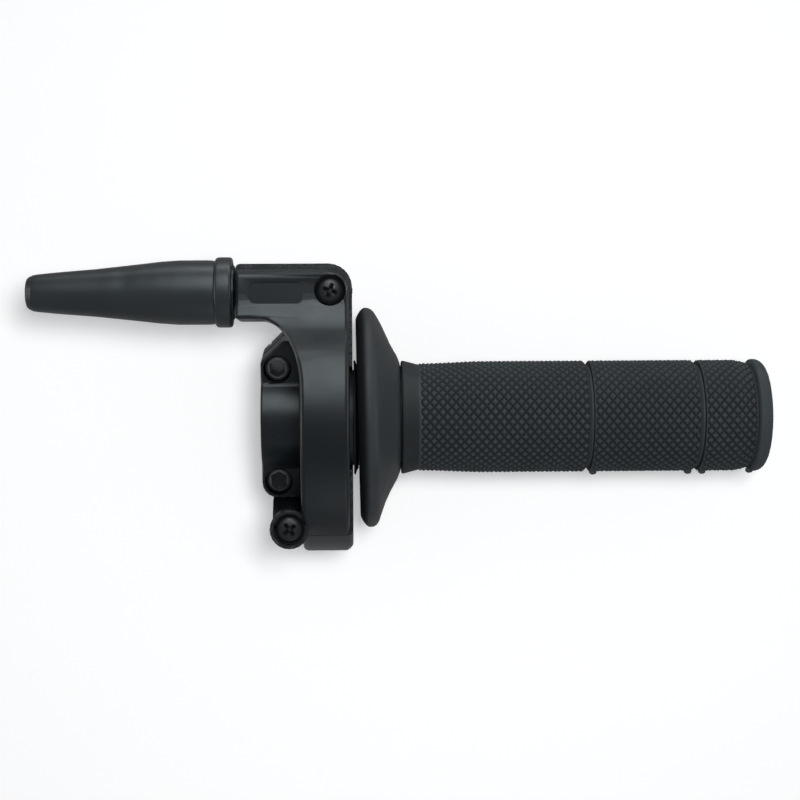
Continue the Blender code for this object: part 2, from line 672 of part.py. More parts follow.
def clamp_nut(name, place):
    nut = prism(name, hexagon(NUT_ACROSS_FLATS), -EAR_BACK, NUT_HEIGHT - EAR_BACK)
    cut(nut, rod("thread", CLAMP_SCREW_SHANK + GAP, -FAR, 0))
    moved(nut, Matrix.Translation(place))
    return moved(nut, clamp_plane)


def cover_screw(name, place):
    seat = -COVER_SCREW_HEAD_HEIGHT
    tip = seat - COVER_SCREW_LENGTH
    crown = 0.35
    dome = arc((seat, 0), (COVER_SCREW_HEAD_HEIGHT, COVER_SCREW_HEAD), 0, math.pi / 2 - crown, 5)
    side = dome[-1][1]
    profile = [(tip, 0), (tip, COVER_SCREW_SHANK), (seat, COVER_SCREW_SHANK), (seat, side)]
    return turned(name, profile + dome[::-1], 24, "Z", place)


def threaded_insert(name, place):
    profile = [
        (0, SCREW_HOLE),
        (0, INSERT_RADIUS),
        (INSERT_LENGTH, INSERT_RADIUS),
        (INSERT_LENGTH, SCREW_HOLE),
    ]
    return turned(name, profile, 24, "Z", place)


# ---------------------------------------------------------------- throttle tube, grip and flange


def groove_radius(angle):
    """The cam: the cable's groove lies further out the further the throttle is opened."""
    share = (CAM_SLOW_FROM - angle) / (CAM_SLOW_FROM - CAM_FAST_END)
    share = min(max(share, 0), 1)
    return CAM_SLOW_RADIUS + (CAM_FAST_RADIUS - CAM_SLOW_RADIUS) * share


def drum_sector(name, rise, left, right):
    """One slice of the drum: its cam outline raised by the cheek's height, or by nothing in the groove."""
    steps = 36
    hub = HUB_RADIUS - mm
    points = []
    for step in range(steps + 1):
        angle = CAM_FAST_END + (CAM_SLOW_END - CAM_FAST_END) * step / steps
        radius = groove_radius(angle) + rise
        points.append((radius * math.cos(angle), radius * math.sin(angle)))
    points += arc((0, 0), (hub, hub), CAM_SLOW_END, CAM_FAST_END, 18)
    return prism(name, points, left, right, "X")


def throttle_tube():
    bore = BAR_RADIUS + BAR_CLEARANCE
    end = GRIP_RIGHT - GRIP_END_WALL - GAP
    shoulder = FLANGE_SEAT - GAP
    profile = [
        (DRUM_LEFT, bore),
        (DRUM_LEFT, HUB_RADIUS),
        (DRUM_RIGHT, HUB_RADIUS),
        (DRUM_RIGHT + mm, NECK_RADIUS),
        (shoulder, NECK_RADIUS),
        (shoulder, TUBE_RADIUS),
        (end, TUBE_RADIUS),
        (end, bore),
    ]
    tube = turned("throttle_tube", profile)
    groove_left = DRUM_LEFT + CHEEK_THICKNESS
    groove_right = groove_left + GROOVE_WIDTH
    overlap = 0.2 * mm
    joined(
        tube,
        drum_sector("inboard_cheek", CHEEK_HEIGHT, DRUM_LEFT, groove_left),
        drum_sector("groove_floor", 0, groove_left - overlap, groove_right + overlap),
        drum_sector("outboard_cheek", CHEEK_HEIGHT, groove_right, DRUM_RIGHT),
    )
    seat = CAM_SLOW_RADIUS - NIPPLE_RADIUS / 3
    across = seat * math.cos(NIPPLE_ANGLE)
    height = seat * math.sin(NIPPLE_ANGLE)
    pocket = rod("pocket", NIPPLE_RADIUS, groove_left, FAR, "X", (0, across, height), 20)
    return cut(tube, pocket)


def thrust_washer():
    left = DRUM_LEFT - GAP - WASHER_THICKNESS
    right = DRUM_LEFT - GAP
    bore = BAR_RADIUS + BAR_CLEARANCE
    profile = [(left, bore), (left, HUB_RADIUS), (right, HUB_RADIUS), (right, bore)]
    return turned("thrust_washer", profile)


def dust_seal():
    """A rubber ring round the neck, against the housing's outboard wall."""
    left = HOUSING_RIGHT + GAP
    right = left + SEAL_WIDTH
    bore = NECK_RADIUS + GAP
    profile = [(left, bore), (left, SEAL_RADIUS), (left + 0.4 * mm, SEAL_RADIUS), (right, bore + 0.7 * mm)]
    return turned("dust_seal", profile + [(right, bore)])


def mud_flange():
    """A soft cupped disc that keeps mud off the grip: thin at its rim, thicker at its hub."""
    bore = TUBE_RADIUS + GAP
    ridge = FLANGE_LEFT + FLANGE_RIM_WIDTH
    shoulder = FLANGE_RIGHT - 1.6 * mm
    profile = [
        (FLANGE_LEFT, FLANGE_RADIUS - 1.6 * mm),
        (FLANGE_LEFT + 0.7 * mm, FLANGE_RADIUS - 0.8 * mm),
        (ridge - 0.5 * mm, FLANGE_RADIUS),
        (ridge + 0.5 * mm, FLANGE_RADIUS - 0.3 * mm),
        (shoulder, FLANGE_BACK_RADIUS + 0.5 * mm),
        (shoulder + 0.6 * mm, FLANGE_BACK_RADIUS - 0.5 * mm),
        (FLANGE_RIGHT, bore + 1.6 * mm),
        (FLANGE_RIGHT, bore),
        (FLANGE_SEAT, bore),
        (FLANGE_SEAT, NECK_RADIUS + 2.4 * mm),
        (ridge, FLANGE_RADIUS - 2 * FLANGE_SHEET),
        (FLANGE_LEFT + 0.8 * mm, FLANGE_RADIUS - FLANGE_SHEET),
    ]
    return turned("mud_flange", profile, 64)


def grip():
    """The rubber sleeve, closed at its outer end, with its collar, three pads and end flange."""
    bore = TUBE_RADIUS + GAP
    collar = GRIP_LEFT + GRIP_COLLAR_WIDTH
    low = GRIP_RADIUS - GRIP_GROOVE_DEPTH
    first = GRIP_LEFT + GRIP_FIRST_GROOVE
    first_end = first + GRIP_FIRST_GROOVE_WIDTH
    second = GRIP_LEFT + GRIP_SECOND_GROOVE
    second_end = second + GRIP_SECOND_GROOVE_WIDTH
    flange = GRIP_RIGHT - GRIP_END_FLANGE_WIDTH
    edge = 1.6 * mm
    dome = arc((GRIP_RIGHT - edge, GRIP_END_FLANGE_RADIUS - edge), (edge, edge), math.pi / 2, 0, 3)
    inside = GRIP_RIGHT - GRIP_END_WALL
    profile = [
        (inside, 0),
        (inside, bore),
        (GRIP_LEFT, bore),
        (GRIP_LEFT, GRIP_COLLAR_RADIUS - 0.6 * mm),
        (GRIP_LEFT + 0.3 * mm, GRIP_COLLAR_RADIUS),
        (collar, GRIP_WAIST_RADIUS),
        (collar + GRIP_TAPER_LENGTH, GRIP_RADIUS),
        (first, GRIP_RADIUS),
        (first_end - 0.4 * mm, low),
        (first_end, low),
        (first_end, GRIP_RADIUS),
        (second, GRIP_RADIUS),
        (second + 1.0 * mm, low),
        (second_end - 0.4 * mm, low),
        (second_end, GRIP_RADIUS),
        (flange - GRIP_END_TAPER, GRIP_RADIUS),
        (flange - 0.5 * mm, low + 0.2 * mm),
        (flange, GRIP_END_FLANGE_RADIUS - 0.4 * mm),
        (flange + 0.6 * mm, GRIP_END_FLANGE_RADIUS),
    ]
    return turned("grip", profile + dome + [(GRIP_RIGHT, 0)])


# ---------------------------------------------------------------- cable roller, inlet, adjuster and boot


def cable_roller():
    half = ROLLER_THICKNESS / 2
    rim = 0.9 * mm
    profile = [
        (-half, ROLLER_PIN_RADIUS + GAP),
        (-half, ROLLER_FLANGE_RADIUS),
        (rim - half, ROLLER_FLANGE_RADIUS),
        (-CABLE_RADIUS, ROLLER_GROOVE_RADIUS),
        (CABLE_RADIUS, ROLLER_GROOVE_RADIUS),
        (half - rim, ROLLER_FLANGE_RADIUS),
        (half, ROLLER_FLANGE_RADIUS),
        (half, ROLLER_PIN_RADIUS + GAP),
    ]
    roller = turned("cable_roller", profile, 32, "Z")
    roller.location = ROLLER_CENTRE
    return roller


def roller_pin():
    x, y, _ = ROLLER_CENTRE
    low = ARM_BACK + HOUSING_WALL + GAP
    high = ARM_FRONT - HOUSING_WALL - GAP
    return rod("roller_pin", ROLLER_PIN_RADIUS, low, high, centre=(x, y, 0))


def on_arm(name, profile, steps=28):
    return turned(name, profile, steps, "X", (0, ARM_OFFSET, ARM_HEIGHT))


def cable_inlet():
    """The bush that both shells trap in the arm's end. The adjuster screws into it."""
    bore = ADJUSTER_THREAD_RADIUS + GAP
    face = ARM_END - GAP
    wall = ARM_END + HOUSING_WALL + GAP
    profile = [
        (ARM_END - SPIGOT_LENGTH, bore),
        (ARM_END - SPIGOT_LENGTH, SPIGOT_RADIUS - 0.4 * mm),
        (ARM_END - SPIGOT_LENGTH + 0.4 * mm, SPIGOT_RADIUS),
        (face, SPIGOT_RADIUS),
        (face, INLET_NECK_RADIUS),
        (wall, INLET_NECK_RADIUS),
        (wall, INLET_FLANGE_RADIUS),
        (wall + INLET_FLANGE_THICKNESS, INLET_FLANGE_RADIUS),
        (wall + INLET_FLANGE_THICKNESS, bore),
    ]
    return on_arm("cable_inlet", profile)


def adjuster_lock_nut():
    right = ARM_END - SPIGOT_LENGTH - GAP
    nut = prism(
        "adjuster_lock_nut", hexagon(LOCK_NUT_ACROSS_FLATS), right - LOCK_NUT_THICKNESS, right, "X"
    )
    cut(nut, rod("thread", ADJUSTER_THREAD_RADIUS + GAP, -FAR, 0, "X"))
    return moved(nut, Matrix.Translation((0, ARM_OFFSET, ARM_HEIGHT)))


def adjuster_barrel():
    """The hollow screw that sets the cable's slack, with a socket for the end of the cable's outer."""
    head = ARM_END - SPIGOT_LENGTH - LOCK_NUT_THICKNESS - 2 * GAP
    end = head - ADJUSTER_HEAD_LENGTH
    tip = ARM_END + HOUSING_WALL + INLET_FLANGE_THICKNESS
    socket = end + ADJUSTER_SOCKET_DEPTH
    profile = [
        (tip, ADJUSTER_BORE_RADIUS),
        (tip, ADJUSTER_THREAD_RADIUS),
        (head, ADJUSTER_THREAD_RADIUS),
        (head, ADJUSTER_HEAD_RADIUS),
        (end + 0.5 * mm, ADJUSTER_HEAD_RADIUS),
        (end, ADJUSTER_HEAD_RADIUS - 0.5 * mm),
        (end, ADJUSTER_SOCKET_RADIUS),
        (socket, ADJUSTER_SOCKET_RADIUS),
        (socket, ADJUSTER_BORE_RADIUS),
    ]
    return on_arm("adjuster_barrel", profile, 24)


def cable_boot():
    """The tapered rubber boot. It grips the inlet's spigot and covers the adjuster."""
    right = ARM_END - BOOT_FROM_ARM
    left = right - BOOT_LENGTH
    lip = right - BOOT_LIP_WIDTH
    belly = right - BOOT_BELLY_AT
    bead = 0.4 * mm
    taper = (BOOT_BELLY_RADIUS - BOOT_TIP_RADIUS) / (belly - left)

    def radius_at(place):
        return BOOT_TIP_RADIUS + (place - left) * taper

    thirds = [left + (belly - left) * share for share in (0.35, 0.7, 0.85)]
    outside = [(left, BOOT_TIP_RADIUS - bead), (left + bead, BOOT_TIP_RADIUS)]
    outside += [(place, radius_at(place)) for place in thirds]
    outside += [
        (belly, BOOT_BELLY_RADIUS - 0.05 * mm),
        (lip - bead, BOOT_BELLY_RADIUS - bead),
        (lip, BOOT_LIP_RADIUS - bead),
        (lip + bead, BOOT_LIP_RADIUS),
        (right - bead, BOOT_LIP_RADIUS),
        (right, BOOT_LIP_RADIUS - bead),
    ]
    grip_end = ARM_END - SPIGOT_LENGTH - GAP
    inside = [
        (right, SPIGOT_RADIUS + GAP),
        (grip_end, SPIGOT_RADIUS + GAP),
        (grip_end - mm, BOOT_BELLY_RADIUS - BOOT_WALL),
    ]
    inside += [(place, radius_at(place) - BOOT_WALL) for place in thirds[::-1]]
    inside.append((left, BOOT_TIP_BORE))
    return on_arm("cable_boot", outside + inside, 40)


# ---------------------------------------------------------------- materials and assembly


def finish(name, colour, roughness, metallic=0.0):
    look = bpy.data.materials.new(name)
    look.use_nodes = True
    shader = look.node_tree.nodes["Principled BSDF"]
    shader.inputs["Base Color"].default_value = (*colour, 1)
    shader.inputs["Roughness"].default_value = roughness
    shader.inputs["Metallic"].default_value = metallic
    return look


def empty(name, place, parent=None):
    item = new_item(name, None)
    item.location = place
    item.parent = parent
    return item


def assemble():
    clear_scene()
    painted = finish("black_painted_alloy", (0.016, 0.018, 0.021), 0.42, 0.1)
    rubber = finish("black_rubber", (0.013, 0.014, 0.016), 0.72)
    steel = finish("blackened_steel", (0.03, 0.03, 0.033), 0.38, 0.9)
    zinc = finish("zinc_plated_steel", (0.5, 0.5, 0.5), 0.35, 1.0)
    brass = finish("brass", (0.62, 0.45, 0.2), 0.35, 1.0)
    moulded = finish("black_moulded_nylon", (0.02, 0.02, 0.022), 0.55)
    acetal = finish("white_acetal", (0.72, 0.72, 0.7), 0.5)

    upper, lower = clamp_screw_places()
    upper_insert, lower_insert = insert_places()
    fixed = [
        (housing_base(), painted),
        (housing_cover(), painted),
        (clamp_cap(), painted),
        (clamp_screw("clamp_screw_upper", upper), steel),
        (clamp_screw("clamp_screw_lower", lower), steel),
        (clamp_nut("clamp_nut_upper", upper), zinc),
        (clamp_nut("clamp_nut_lower", lower), zinc),
        (cover_screw("cover_screw_upper", UPPER_SCREW), steel),
        (cover_screw("cover_screw_lower", LOWER_SCREW), steel),
        (threaded_insert("cover_insert_upper", upper_insert), brass),
        (threaded_insert("cover_insert_lower", lower_insert), brass),
        (roller_pin(), zinc),
        (cable_inlet(), zinc),
        (adjuster_lock_nut(), zinc),
        (cable_boot(), rubber),
        (dust_seal(), rubber),
        (thrust_washer(), acetal),
    ]
    turning = [(throttle_tube(), moulded), (mud_flange(), rubber), (grip(), rubber)]
    rolling = [(cable_roller(), acetal)]
    sliding = [(adjuster_barrel(), zinc)]

    group = bpy.data.collections.new("throttle_grip")
    bpy.context.scene.collection.children.link(group)
    housing = empty("housing", (0, 0, 0))
    throttle_axis = empty("throttle_axis", (0, 0, 0), housing)
    pieces = ((fixed, housing), (turning, throttle_axis), (rolling, housing), (sliding, housing))
    for members, parent in pieces:
        for item, look in members:
            item.data.materials.clear()
            item.data.materials.append(look)
            item.data.shade_smooth()
            item.data.set_sharp_from_angle(angle=math.radians(35))
            item.parent = parent
            group.objects.link(item)
            bpy.context.scene.collection.objects.unlink(item)


assemble()
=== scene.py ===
import json
import math

import bmesh
import bpy
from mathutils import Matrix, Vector

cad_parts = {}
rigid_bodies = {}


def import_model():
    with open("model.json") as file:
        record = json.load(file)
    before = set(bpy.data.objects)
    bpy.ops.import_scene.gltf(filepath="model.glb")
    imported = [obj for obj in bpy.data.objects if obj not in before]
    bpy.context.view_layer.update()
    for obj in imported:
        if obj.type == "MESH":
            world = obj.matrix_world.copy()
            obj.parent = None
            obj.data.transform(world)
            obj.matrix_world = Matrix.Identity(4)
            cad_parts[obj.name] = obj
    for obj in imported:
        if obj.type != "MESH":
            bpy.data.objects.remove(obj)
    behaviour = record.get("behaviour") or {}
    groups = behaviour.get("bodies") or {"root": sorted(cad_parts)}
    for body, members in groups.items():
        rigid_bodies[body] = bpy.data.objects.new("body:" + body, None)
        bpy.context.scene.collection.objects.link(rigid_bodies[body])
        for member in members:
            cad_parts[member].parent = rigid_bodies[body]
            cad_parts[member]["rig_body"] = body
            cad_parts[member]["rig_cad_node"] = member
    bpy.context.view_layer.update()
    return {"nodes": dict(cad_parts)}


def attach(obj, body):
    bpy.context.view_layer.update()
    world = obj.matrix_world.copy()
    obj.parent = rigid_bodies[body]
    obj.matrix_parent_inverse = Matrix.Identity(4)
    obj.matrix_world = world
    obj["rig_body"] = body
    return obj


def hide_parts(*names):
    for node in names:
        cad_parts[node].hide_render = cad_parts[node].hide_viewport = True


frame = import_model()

mm = 0.001


# Selecting and shaping, shared by all the pieces

def only(piece):
    bpy.ops.object.select_all(action="DESELECT")
    piece.select_set(True)
    bpy.context.view_layer.objects.active = piece
    return piece


def startEditing(piece):
    only(piece)
    bpy.ops.object.mode_set(mode="EDIT")
    bpy.ops.mesh.select_mode(type="VERT")
    bpy.ops.mesh.select_all(action="SELECT")


def stopEditing():
    bpy.ops.object.mode_set(mode="OBJECT")


def pickVerts(piece, test):  # test takes a place in metres
    bpy.ops.mesh.select_mode(type="VERT")
    bpy.ops.mesh.select_all(action="DESELECT")
    shape = bmesh.from_edit_mesh(piece.data)
    for vert in shape.verts:
        if test(vert.co):
            vert.select_set(True)
    shape.select_flush(True)
    bmesh.update_edit_mesh(piece.data)


def newest(name):
    piece = bpy.context.active_object
    piece.name = name
    piece.data.name = name
    bpy.ops.object.transform_apply(location=True, rotation=True, scale=True)
    return piece


def latheShape(name, profile, steps, centre=(0, 0)):
    # profile is (place along X, radius) in mm, drawn point by point and spun round a line along X
    y, z = centre[0] * mm, centre[1] * mm
    start = (profile[0][0] * mm, y, z + profile[0][1] * mm)
    bpy.ops.object.select_all(action="DESELECT")
    bpy.ops.mesh.primitive_plane_add(size=mm, location=start)
    piece = newest(name)
    startEditing(piece)
    bpy.ops.mesh.merge(type="CENTER")
    for before, after in zip(profile, profile[1:]):
        move = ((after[0] - before[0]) * mm, 0, (after[1] - before[1]) * mm)
        bpy.ops.mesh.extrude_vertices_move(TRANSFORM_OT_translate={"value": move})
    if profile[0][1] > 0 or profile[-1][1] > 0:  # a ring: its outline closes on itself
        shape = bmesh.from_edit_mesh(piece.data)
        shape.verts.ensure_lookup_table()
        for vert in shape.verts:
            vert.select_set(False)
        shape.verts[0].select_set(True)
        shape.verts[-1].select_set(True)
        bmesh.update_edit_mesh(piece.data)
        bpy.ops.mesh.edge_face_add()
    bpy.ops.mesh.select_all(action="SELECT")
    bpy.ops.mesh.spin(steps=steps, angle=math.tau, center=(0, y, z), axis=(1, 0, 0))
    bpy.ops.mesh.select_all(action="SELECT")
    bpy.ops.mesh.remove_doubles(threshold=0.001 * mm)
    bpy.ops.mesh.normals_make_consistent(inside=False)
    stopEditing()
    return piece


# in mm and degrees, angles from +X towards a larger radius
def curvePoints(centre, radius, start, end, steps):
    found = []
    for step in range(steps + 1):
        angle = math.radians(start + (end - start) * step / steps)
        found.append((centre[0] + radius * math.cos(angle), centre[1] + radius * math.sin(angle)))
    return found


def smoothEdges(piece, degrees):  # smooth shading, with hard edges past this angle
    only(piece)
    bpy.ops.object.shade_smooth_by_angle(angle=math.radians(degrees))
    step = piece.modifiers.new("even shading", "WEIGHTED_NORMAL")
    step.keep_sharp = True
    bpy.ops.object.modifier_apply(modifier=step.name)
    return piece


def copyNode(nodeName, name):
    # a CAD node's own shape as a new piece, its triangles joined so that it can be smoothed
    node = frame["nodes"][nodeName]
    only(node)
    bpy.ops.object.duplicate()
    piece = bpy.context.active_object
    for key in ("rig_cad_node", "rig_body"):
        if key in piece:
            del piece[key]
    piece.parent = None
    piece.name = name
    piece.data.name = name
    startEditing(piece)
    bpy.ops.mesh.remove_doubles(threshold=0.002 * mm)
    bpy.ops.mesh.dissolve_limited(angle_limit=math.radians(0.6))
    stopEditing()
    return piece


def joinPieces(main, others):
    bpy.ops.object.select_all(action="DESELECT")
    for piece in [main, *others]:
        piece.select_set(True)
    bpy.context.view_layer.objects.active = main
    bpy.ops.object.join()


def cutAway(piece, cutter):
    step = only(piece).modifiers.new("cut", "BOOLEAN")
    step.operation = "DIFFERENCE"
    step.solver = "EXACT"
    step.object = cutter
    bpy.ops.object.modifier_apply(modifier=step.name)
    bpy.data.objects.remove(cutter)


def dress(piece, material, slotName, body, *nodes):
    piece.data.materials.clear()
    piece.data.materials.append(material)
    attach(piece, body)
    if nodes:
        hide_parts(*nodes)


# Nodes, for the table and the finishes

def addNode(tree, kind, place, values=None, **settings):
    made = tree.nodes.new(kind)
    made.location = place
    for key, value in settings.items():
        setattr(made, key, value)
    for key, value in (values or {}).items():
        made.inputs[key].default_value = value
    return made


def wire(tree, *pairs):
    for output, socket in pairs:
        tree.links.new(output, socket)


# Camera, floor and light

camera = {  # places in mm, the roll in degrees
    "from": (20.1, 5.0, 500.0), "at": (33.5, 5.0, 0.0), "lens": 78.3, "sensor": 36, "roll": -0.35,
    "nearest": 10,
}
bpy.ops.object.camera_add(location=[value * mm for value in camera["from"]])
view = bpy.context.active_object
view.name = "photo_camera"
aside = camera["at"][0] - camera["from"][0]
view.rotation_euler = (0, -math.atan2(aside, camera["from"][2]), math.radians(camera["roll"]))
view.data.lens = camera["lens"]
view.data.sensor_width = camera["sensor"]
view.data.clip_start = camera["nearest"] * mm
bpy.context.scene.camera = view
bpy.context.scene.view_settings.view_transform = "Standard"

table = {  # height and size in mm
    "height": -38.6, "size": 6000, "shade": 0.8, "mirroredShade": 0.3, "glow": 0.335, "mirrored": 0.25,
    "surface": {"Roughness": 0.9, "Specular IOR Level": 0.1, "Emission Color": (0.985, 0.99, 1.0, 1)},
}
bpy.ops.object.select_all(action="DESELECT")
bpy.ops.mesh.primitive_plane_add(size=table["size"] * mm, location=(0, 0, table["height"] * mm))
floor = newest("table_top")
floorLook = bpy.data.materials.new("pale_table")
floorLook.use_nodes = True
floorTree = floorLook.node_tree
floorShader = floorTree.nodes["Principled BSDF"]
for socketName, value in table["surface"].items():
    floorShader.inputs[socketName].default_value = value

# the table glows to white where the camera sees it, and is greyer in what the object mirrors
seenBy = addNode(floorTree, "ShaderNodeLightPath", (-1100, 0))
either = addNode(floorTree, "ShaderNodeMath", (-900, 0), operation="MAXIMUM")
mirrored = addNode(floorTree, "ShaderNodeMath", (-700, -100), {1: table["mirrored"]}, operation="MULTIPLY")
brightest = addNode(floorTree, "ShaderNodeMath", (-500, -100), operation="MAXIMUM")
glow = addNode(floorTree, "ShaderNodeMath", (-300, -100), {1: table["glow"]}, operation="MULTIPLY")
greyer = addNode(
    floorTree, "ShaderNodeMath", (-300, 150), {1: table["mirroredShade"] - table["shade"], 2: table["shade"]},
    operation="MULTIPLY_ADD")
wire(
    floorTree,
    (seenBy.outputs["Is Glossy Ray"], either.inputs[0]),
    (seenBy.outputs["Is Transmission Ray"], either.inputs[1]),
    (either.outputs[0], mirrored.inputs[0]), (mirrored.outputs[0], brightest.inputs[0]),
    (seenBy.outputs["Is Camera Ray"], brightest.inputs[1]), (brightest.outputs[0], glow.inputs[0]),
    (glow.outputs[0], floorShader.inputs["Emission Strength"]),
    (either.outputs[0], greyer.inputs[0]), (greyer.outputs[0], floorShader.inputs["Base Color"]),
)
floor.data.materials.append(floorLook)

# the long lamps draw the edges and the highlights, and the small one in front lights the table and the matt
# rubber; places in mm, sizes in metres, power in watts
lamps = {
    "front_light": {"at": (72, 42, 600), "size": (0.1, 0.1), "power": 2.6, "highlights": False},
    "key_light": {"at": (40, 425, 590), "size": (0.42, 0.5), "power": 2.6, "diffuse": False},
    "edge_light": {"at": (180, 760, 40), "size": (0.9, 0.16), "power": 2.6, "diffuse": False},
    "left_light": {"at": (-700, 60, 90), "size": (0.5, 0.16), "power": 1.2, "diffuse": False},
    "right_light": {"at": (800, 120, 60), "size": (0.5, 0.16), "power": 1.0, "diffuse": False},
    "low_light": {"at": (200, -560, 240), "size": (0.4, 0.4), "power": 0.35, "diffuse": False},
}
lampAim = Vector((30, 0, 0)) * mm
for lampName, lamp in lamps.items():
    place = Vector(lamp["at"]) * mm
    bpy.ops.object.light_add(type="AREA", location=place)
    light = bpy.context.active_object
    light.name = lampName
    light.data.shape = "RECTANGLE"
    light.data.size, light.data.size_y = lamp["size"]
    light.data.energy = lamp["power"]
    light.visible_diffuse = lamp.get("diffuse", True)
    light.visible_glossy = lamp.get("highlights", True)
    light.rotation_euler = (lampAim - place).to_track_quat("-Z", "Y").to_euler()

room = {"colour": (0.95, 0.98, 1.0, 1), "strength": 0.26}
world = bpy.data.worlds.new("plain_room")
world.use_nodes = True
air = world.node_tree.nodes["Background"]
air.inputs["Color"].default_value = room["colour"]
air.inputs["Strength"].default_value = room["strength"]
bpy.context.scene.world = world
print("stage: camera, table and light")


# Finishes

def newGroup(name, inputs, outputs):
    group = bpy.data.node_groups.new(name, "ShaderNodeTree")
    for socket, (kind, value) in inputs.items():
        made = group.interface.new_socket(socket, in_out="INPUT", socket_type=kind)
        if value is not None:
            made.default_value = value
    for socket in outputs:
        group.interface.new_socket(socket, in_out="OUTPUT", socket_type="NodeSocketFloat")
    return group, addNode(group, "NodeGroupInput", (-900, 0)), addNode(group, "NodeGroupOutput", (700, 0))


def grainGroup():
    # the skin that a mould or a coat of powder paint leaves: a fine grain on a slow ripple
    wanted = {
        "Vector": ("NodeSocketVector", None), "Grain": ("NodeSocketFloat", 4000.0),
        "Ripple": ("NodeSocketFloat", 300.0),
    }
    group, given, made = newGroup("surface_grain", wanted, ("Height", "Fleck"))
    fine = addNode(group, "ShaderNodeTexNoise", (-600, 200), {"Detail": 3.0, "Roughness": 0.55})
    slow = addNode(group, "ShaderNodeTexNoise", (-600, -100), {"Detail": 2.0, "Roughness": 0.5})
    cells = addNode(group, "ShaderNodeTexVoronoi", (-600, -400))
    mix = addNode(group, "ShaderNodeMath", (-200, 100), {1: 0.45}, operation="MULTIPLY")
    total = addNode(group, "ShaderNodeMath", (50, 100), operation="ADD")
    fleck = addNode(group, "ShaderNodeMapRange", (-200, -400), {1: 0.0, 2: 0.22, 3: 1.0, 4: 0.0})
    wire(
        group,
        (given.outputs["Vector"], fine.inputs["Vector"]), (given.outputs["Vector"], slow.inputs["Vector"]),
        (given.outputs["Vector"], cells.inputs["Vector"]), (given.outputs["Grain"], fine.inputs["Scale"]),
        (given.outputs["Ripple"], slow.inputs["Scale"]), (given.outputs["Grain"], cells.inputs["Scale"]),
        (fine.outputs["Fac"], mix.inputs[0]), (mix.outputs[0], total.inputs[0]),
        (slow.outputs["Fac"], total.inputs[1]), (cells.outputs["Distance"], fleck.inputs[0]),
        (total.outputs[0], made.inputs["Height"]), (fleck.outputs[0], made.inputs["Fleck"]),
    )
    return group


def handledGroup():
    # where hands and cloths have polished or smeared the surface, and thin scuffs over it
    wanted = {
        "Vector": ("NodeSocketVector", None), "Patch": ("NodeSocketFloat", 60.0),
        "Scuff": ("NodeSocketFloat", 500.0),
    }
    group, given, made = newGroup("handling_marks", wanted, ("Smear", "Scuffs"))
    slow = addNode(group, "ShaderNodeTexNoise", (-600, 150),
                   {"Detail": 4.0, "Roughness": 0.6, "Distortion": 0.4})
    streak = {"Scale": (0.12, 1.0, 1.0), "Rotation": (0.3, 0.2, 0.5)}
    stretch = addNode(group, "ShaderNodeMapping", (-750, -250), streak)
    thin = addNode(group, "ShaderNodeTexNoise", (-550, -250), {"Detail": 2.0, "Roughness": 0.7})
    smear = addNode(group, "ShaderNodeMapRange", (-250, 150), {1: 0.38, 2: 0.66, 3: 0.0, 4: 1.0})
    scuff = addNode(group, "ShaderNodeMapRange", (-250, -250), {1: 0.68, 2: 0.74, 3: 0.0, 4: 1.0})
    both = addNode(group, "ShaderNodeMath", (0, -150), operation="MULTIPLY")
    wire(
        group,
        (given.outputs["Vector"], slow.inputs["Vector"]), (given.outputs["Vector"], stretch.inputs["Vector"]),
        (stretch.outputs["Vector"], thin.inputs["Vector"]), (given.outputs["Patch"], slow.inputs["Scale"]),
        (given.outputs["Scuff"], thin.inputs["Scale"]), (slow.outputs["Fac"], smear.inputs[0]),
        (thin.outputs["Fac"], scuff.inputs[0]), (smear.outputs[0], both.inputs[0]),
        (scuff.outputs[0], both.inputs[1]), (smear.outputs[0], made.inputs["Smear"]),
        (both.outputs[0], made.inputs["Scuffs"]),
    )
    return group


def wearAndHighlightGroup():
    # bare or polished edges, and on some finishes a painted highlight along the edges, broken up by a noise
    wanted = {
        "Vector": ("NodeSocketVector", None), "Edge": ("NodeSocketFloat", 0.54),
        "Breakup": ("NodeSocketFloat", 900.0),
    }
    group, given, made = newGroup("edge_wear_and_highlight", wanted, ("WearAndHighlight",))
    shape = addNode(group, "ShaderNodeNewGeometry", (-700, 200))
    noise = addNode(group, "ShaderNodeTexNoise", (-700, -100), {"Detail": 3.0})
    past = addNode(group, "ShaderNodeMath", (-450, 200), operation="SUBTRACT")
    steep = addNode(group, "ShaderNodeMath", (-250, 200), {1: 14.0}, operation="MULTIPLY", use_clamp=True)
    broken = addNode(group, "ShaderNodeMapRange", (-450, -100), {1: 0.42, 2: 0.6, 3: 0.0, 4: 1.0})
    both = addNode(group, "ShaderNodeMath", (0, 100), operation="MULTIPLY")
    wire(
        group,
        (given.outputs["Vector"], noise.inputs["Vector"]), (given.outputs["Breakup"], noise.inputs["Scale"]),
        (shape.outputs["Pointiness"], past.inputs[0]), (given.outputs["Edge"], past.inputs[1]),
        (past.outputs[0], steep.inputs[0]), (noise.outputs["Fac"], broken.inputs[0]),
        (steep.outputs[0], both.inputs[0]), (broken.outputs[0], both.inputs[1]),
        (both.outputs[0], made.inputs["WearAndHighlight"]),
    )
    return group


surfaceGrain = grainGroup()
handlingMarks = handledGroup()
edgeWearAndHighlight = wearAndHighlightGroup()


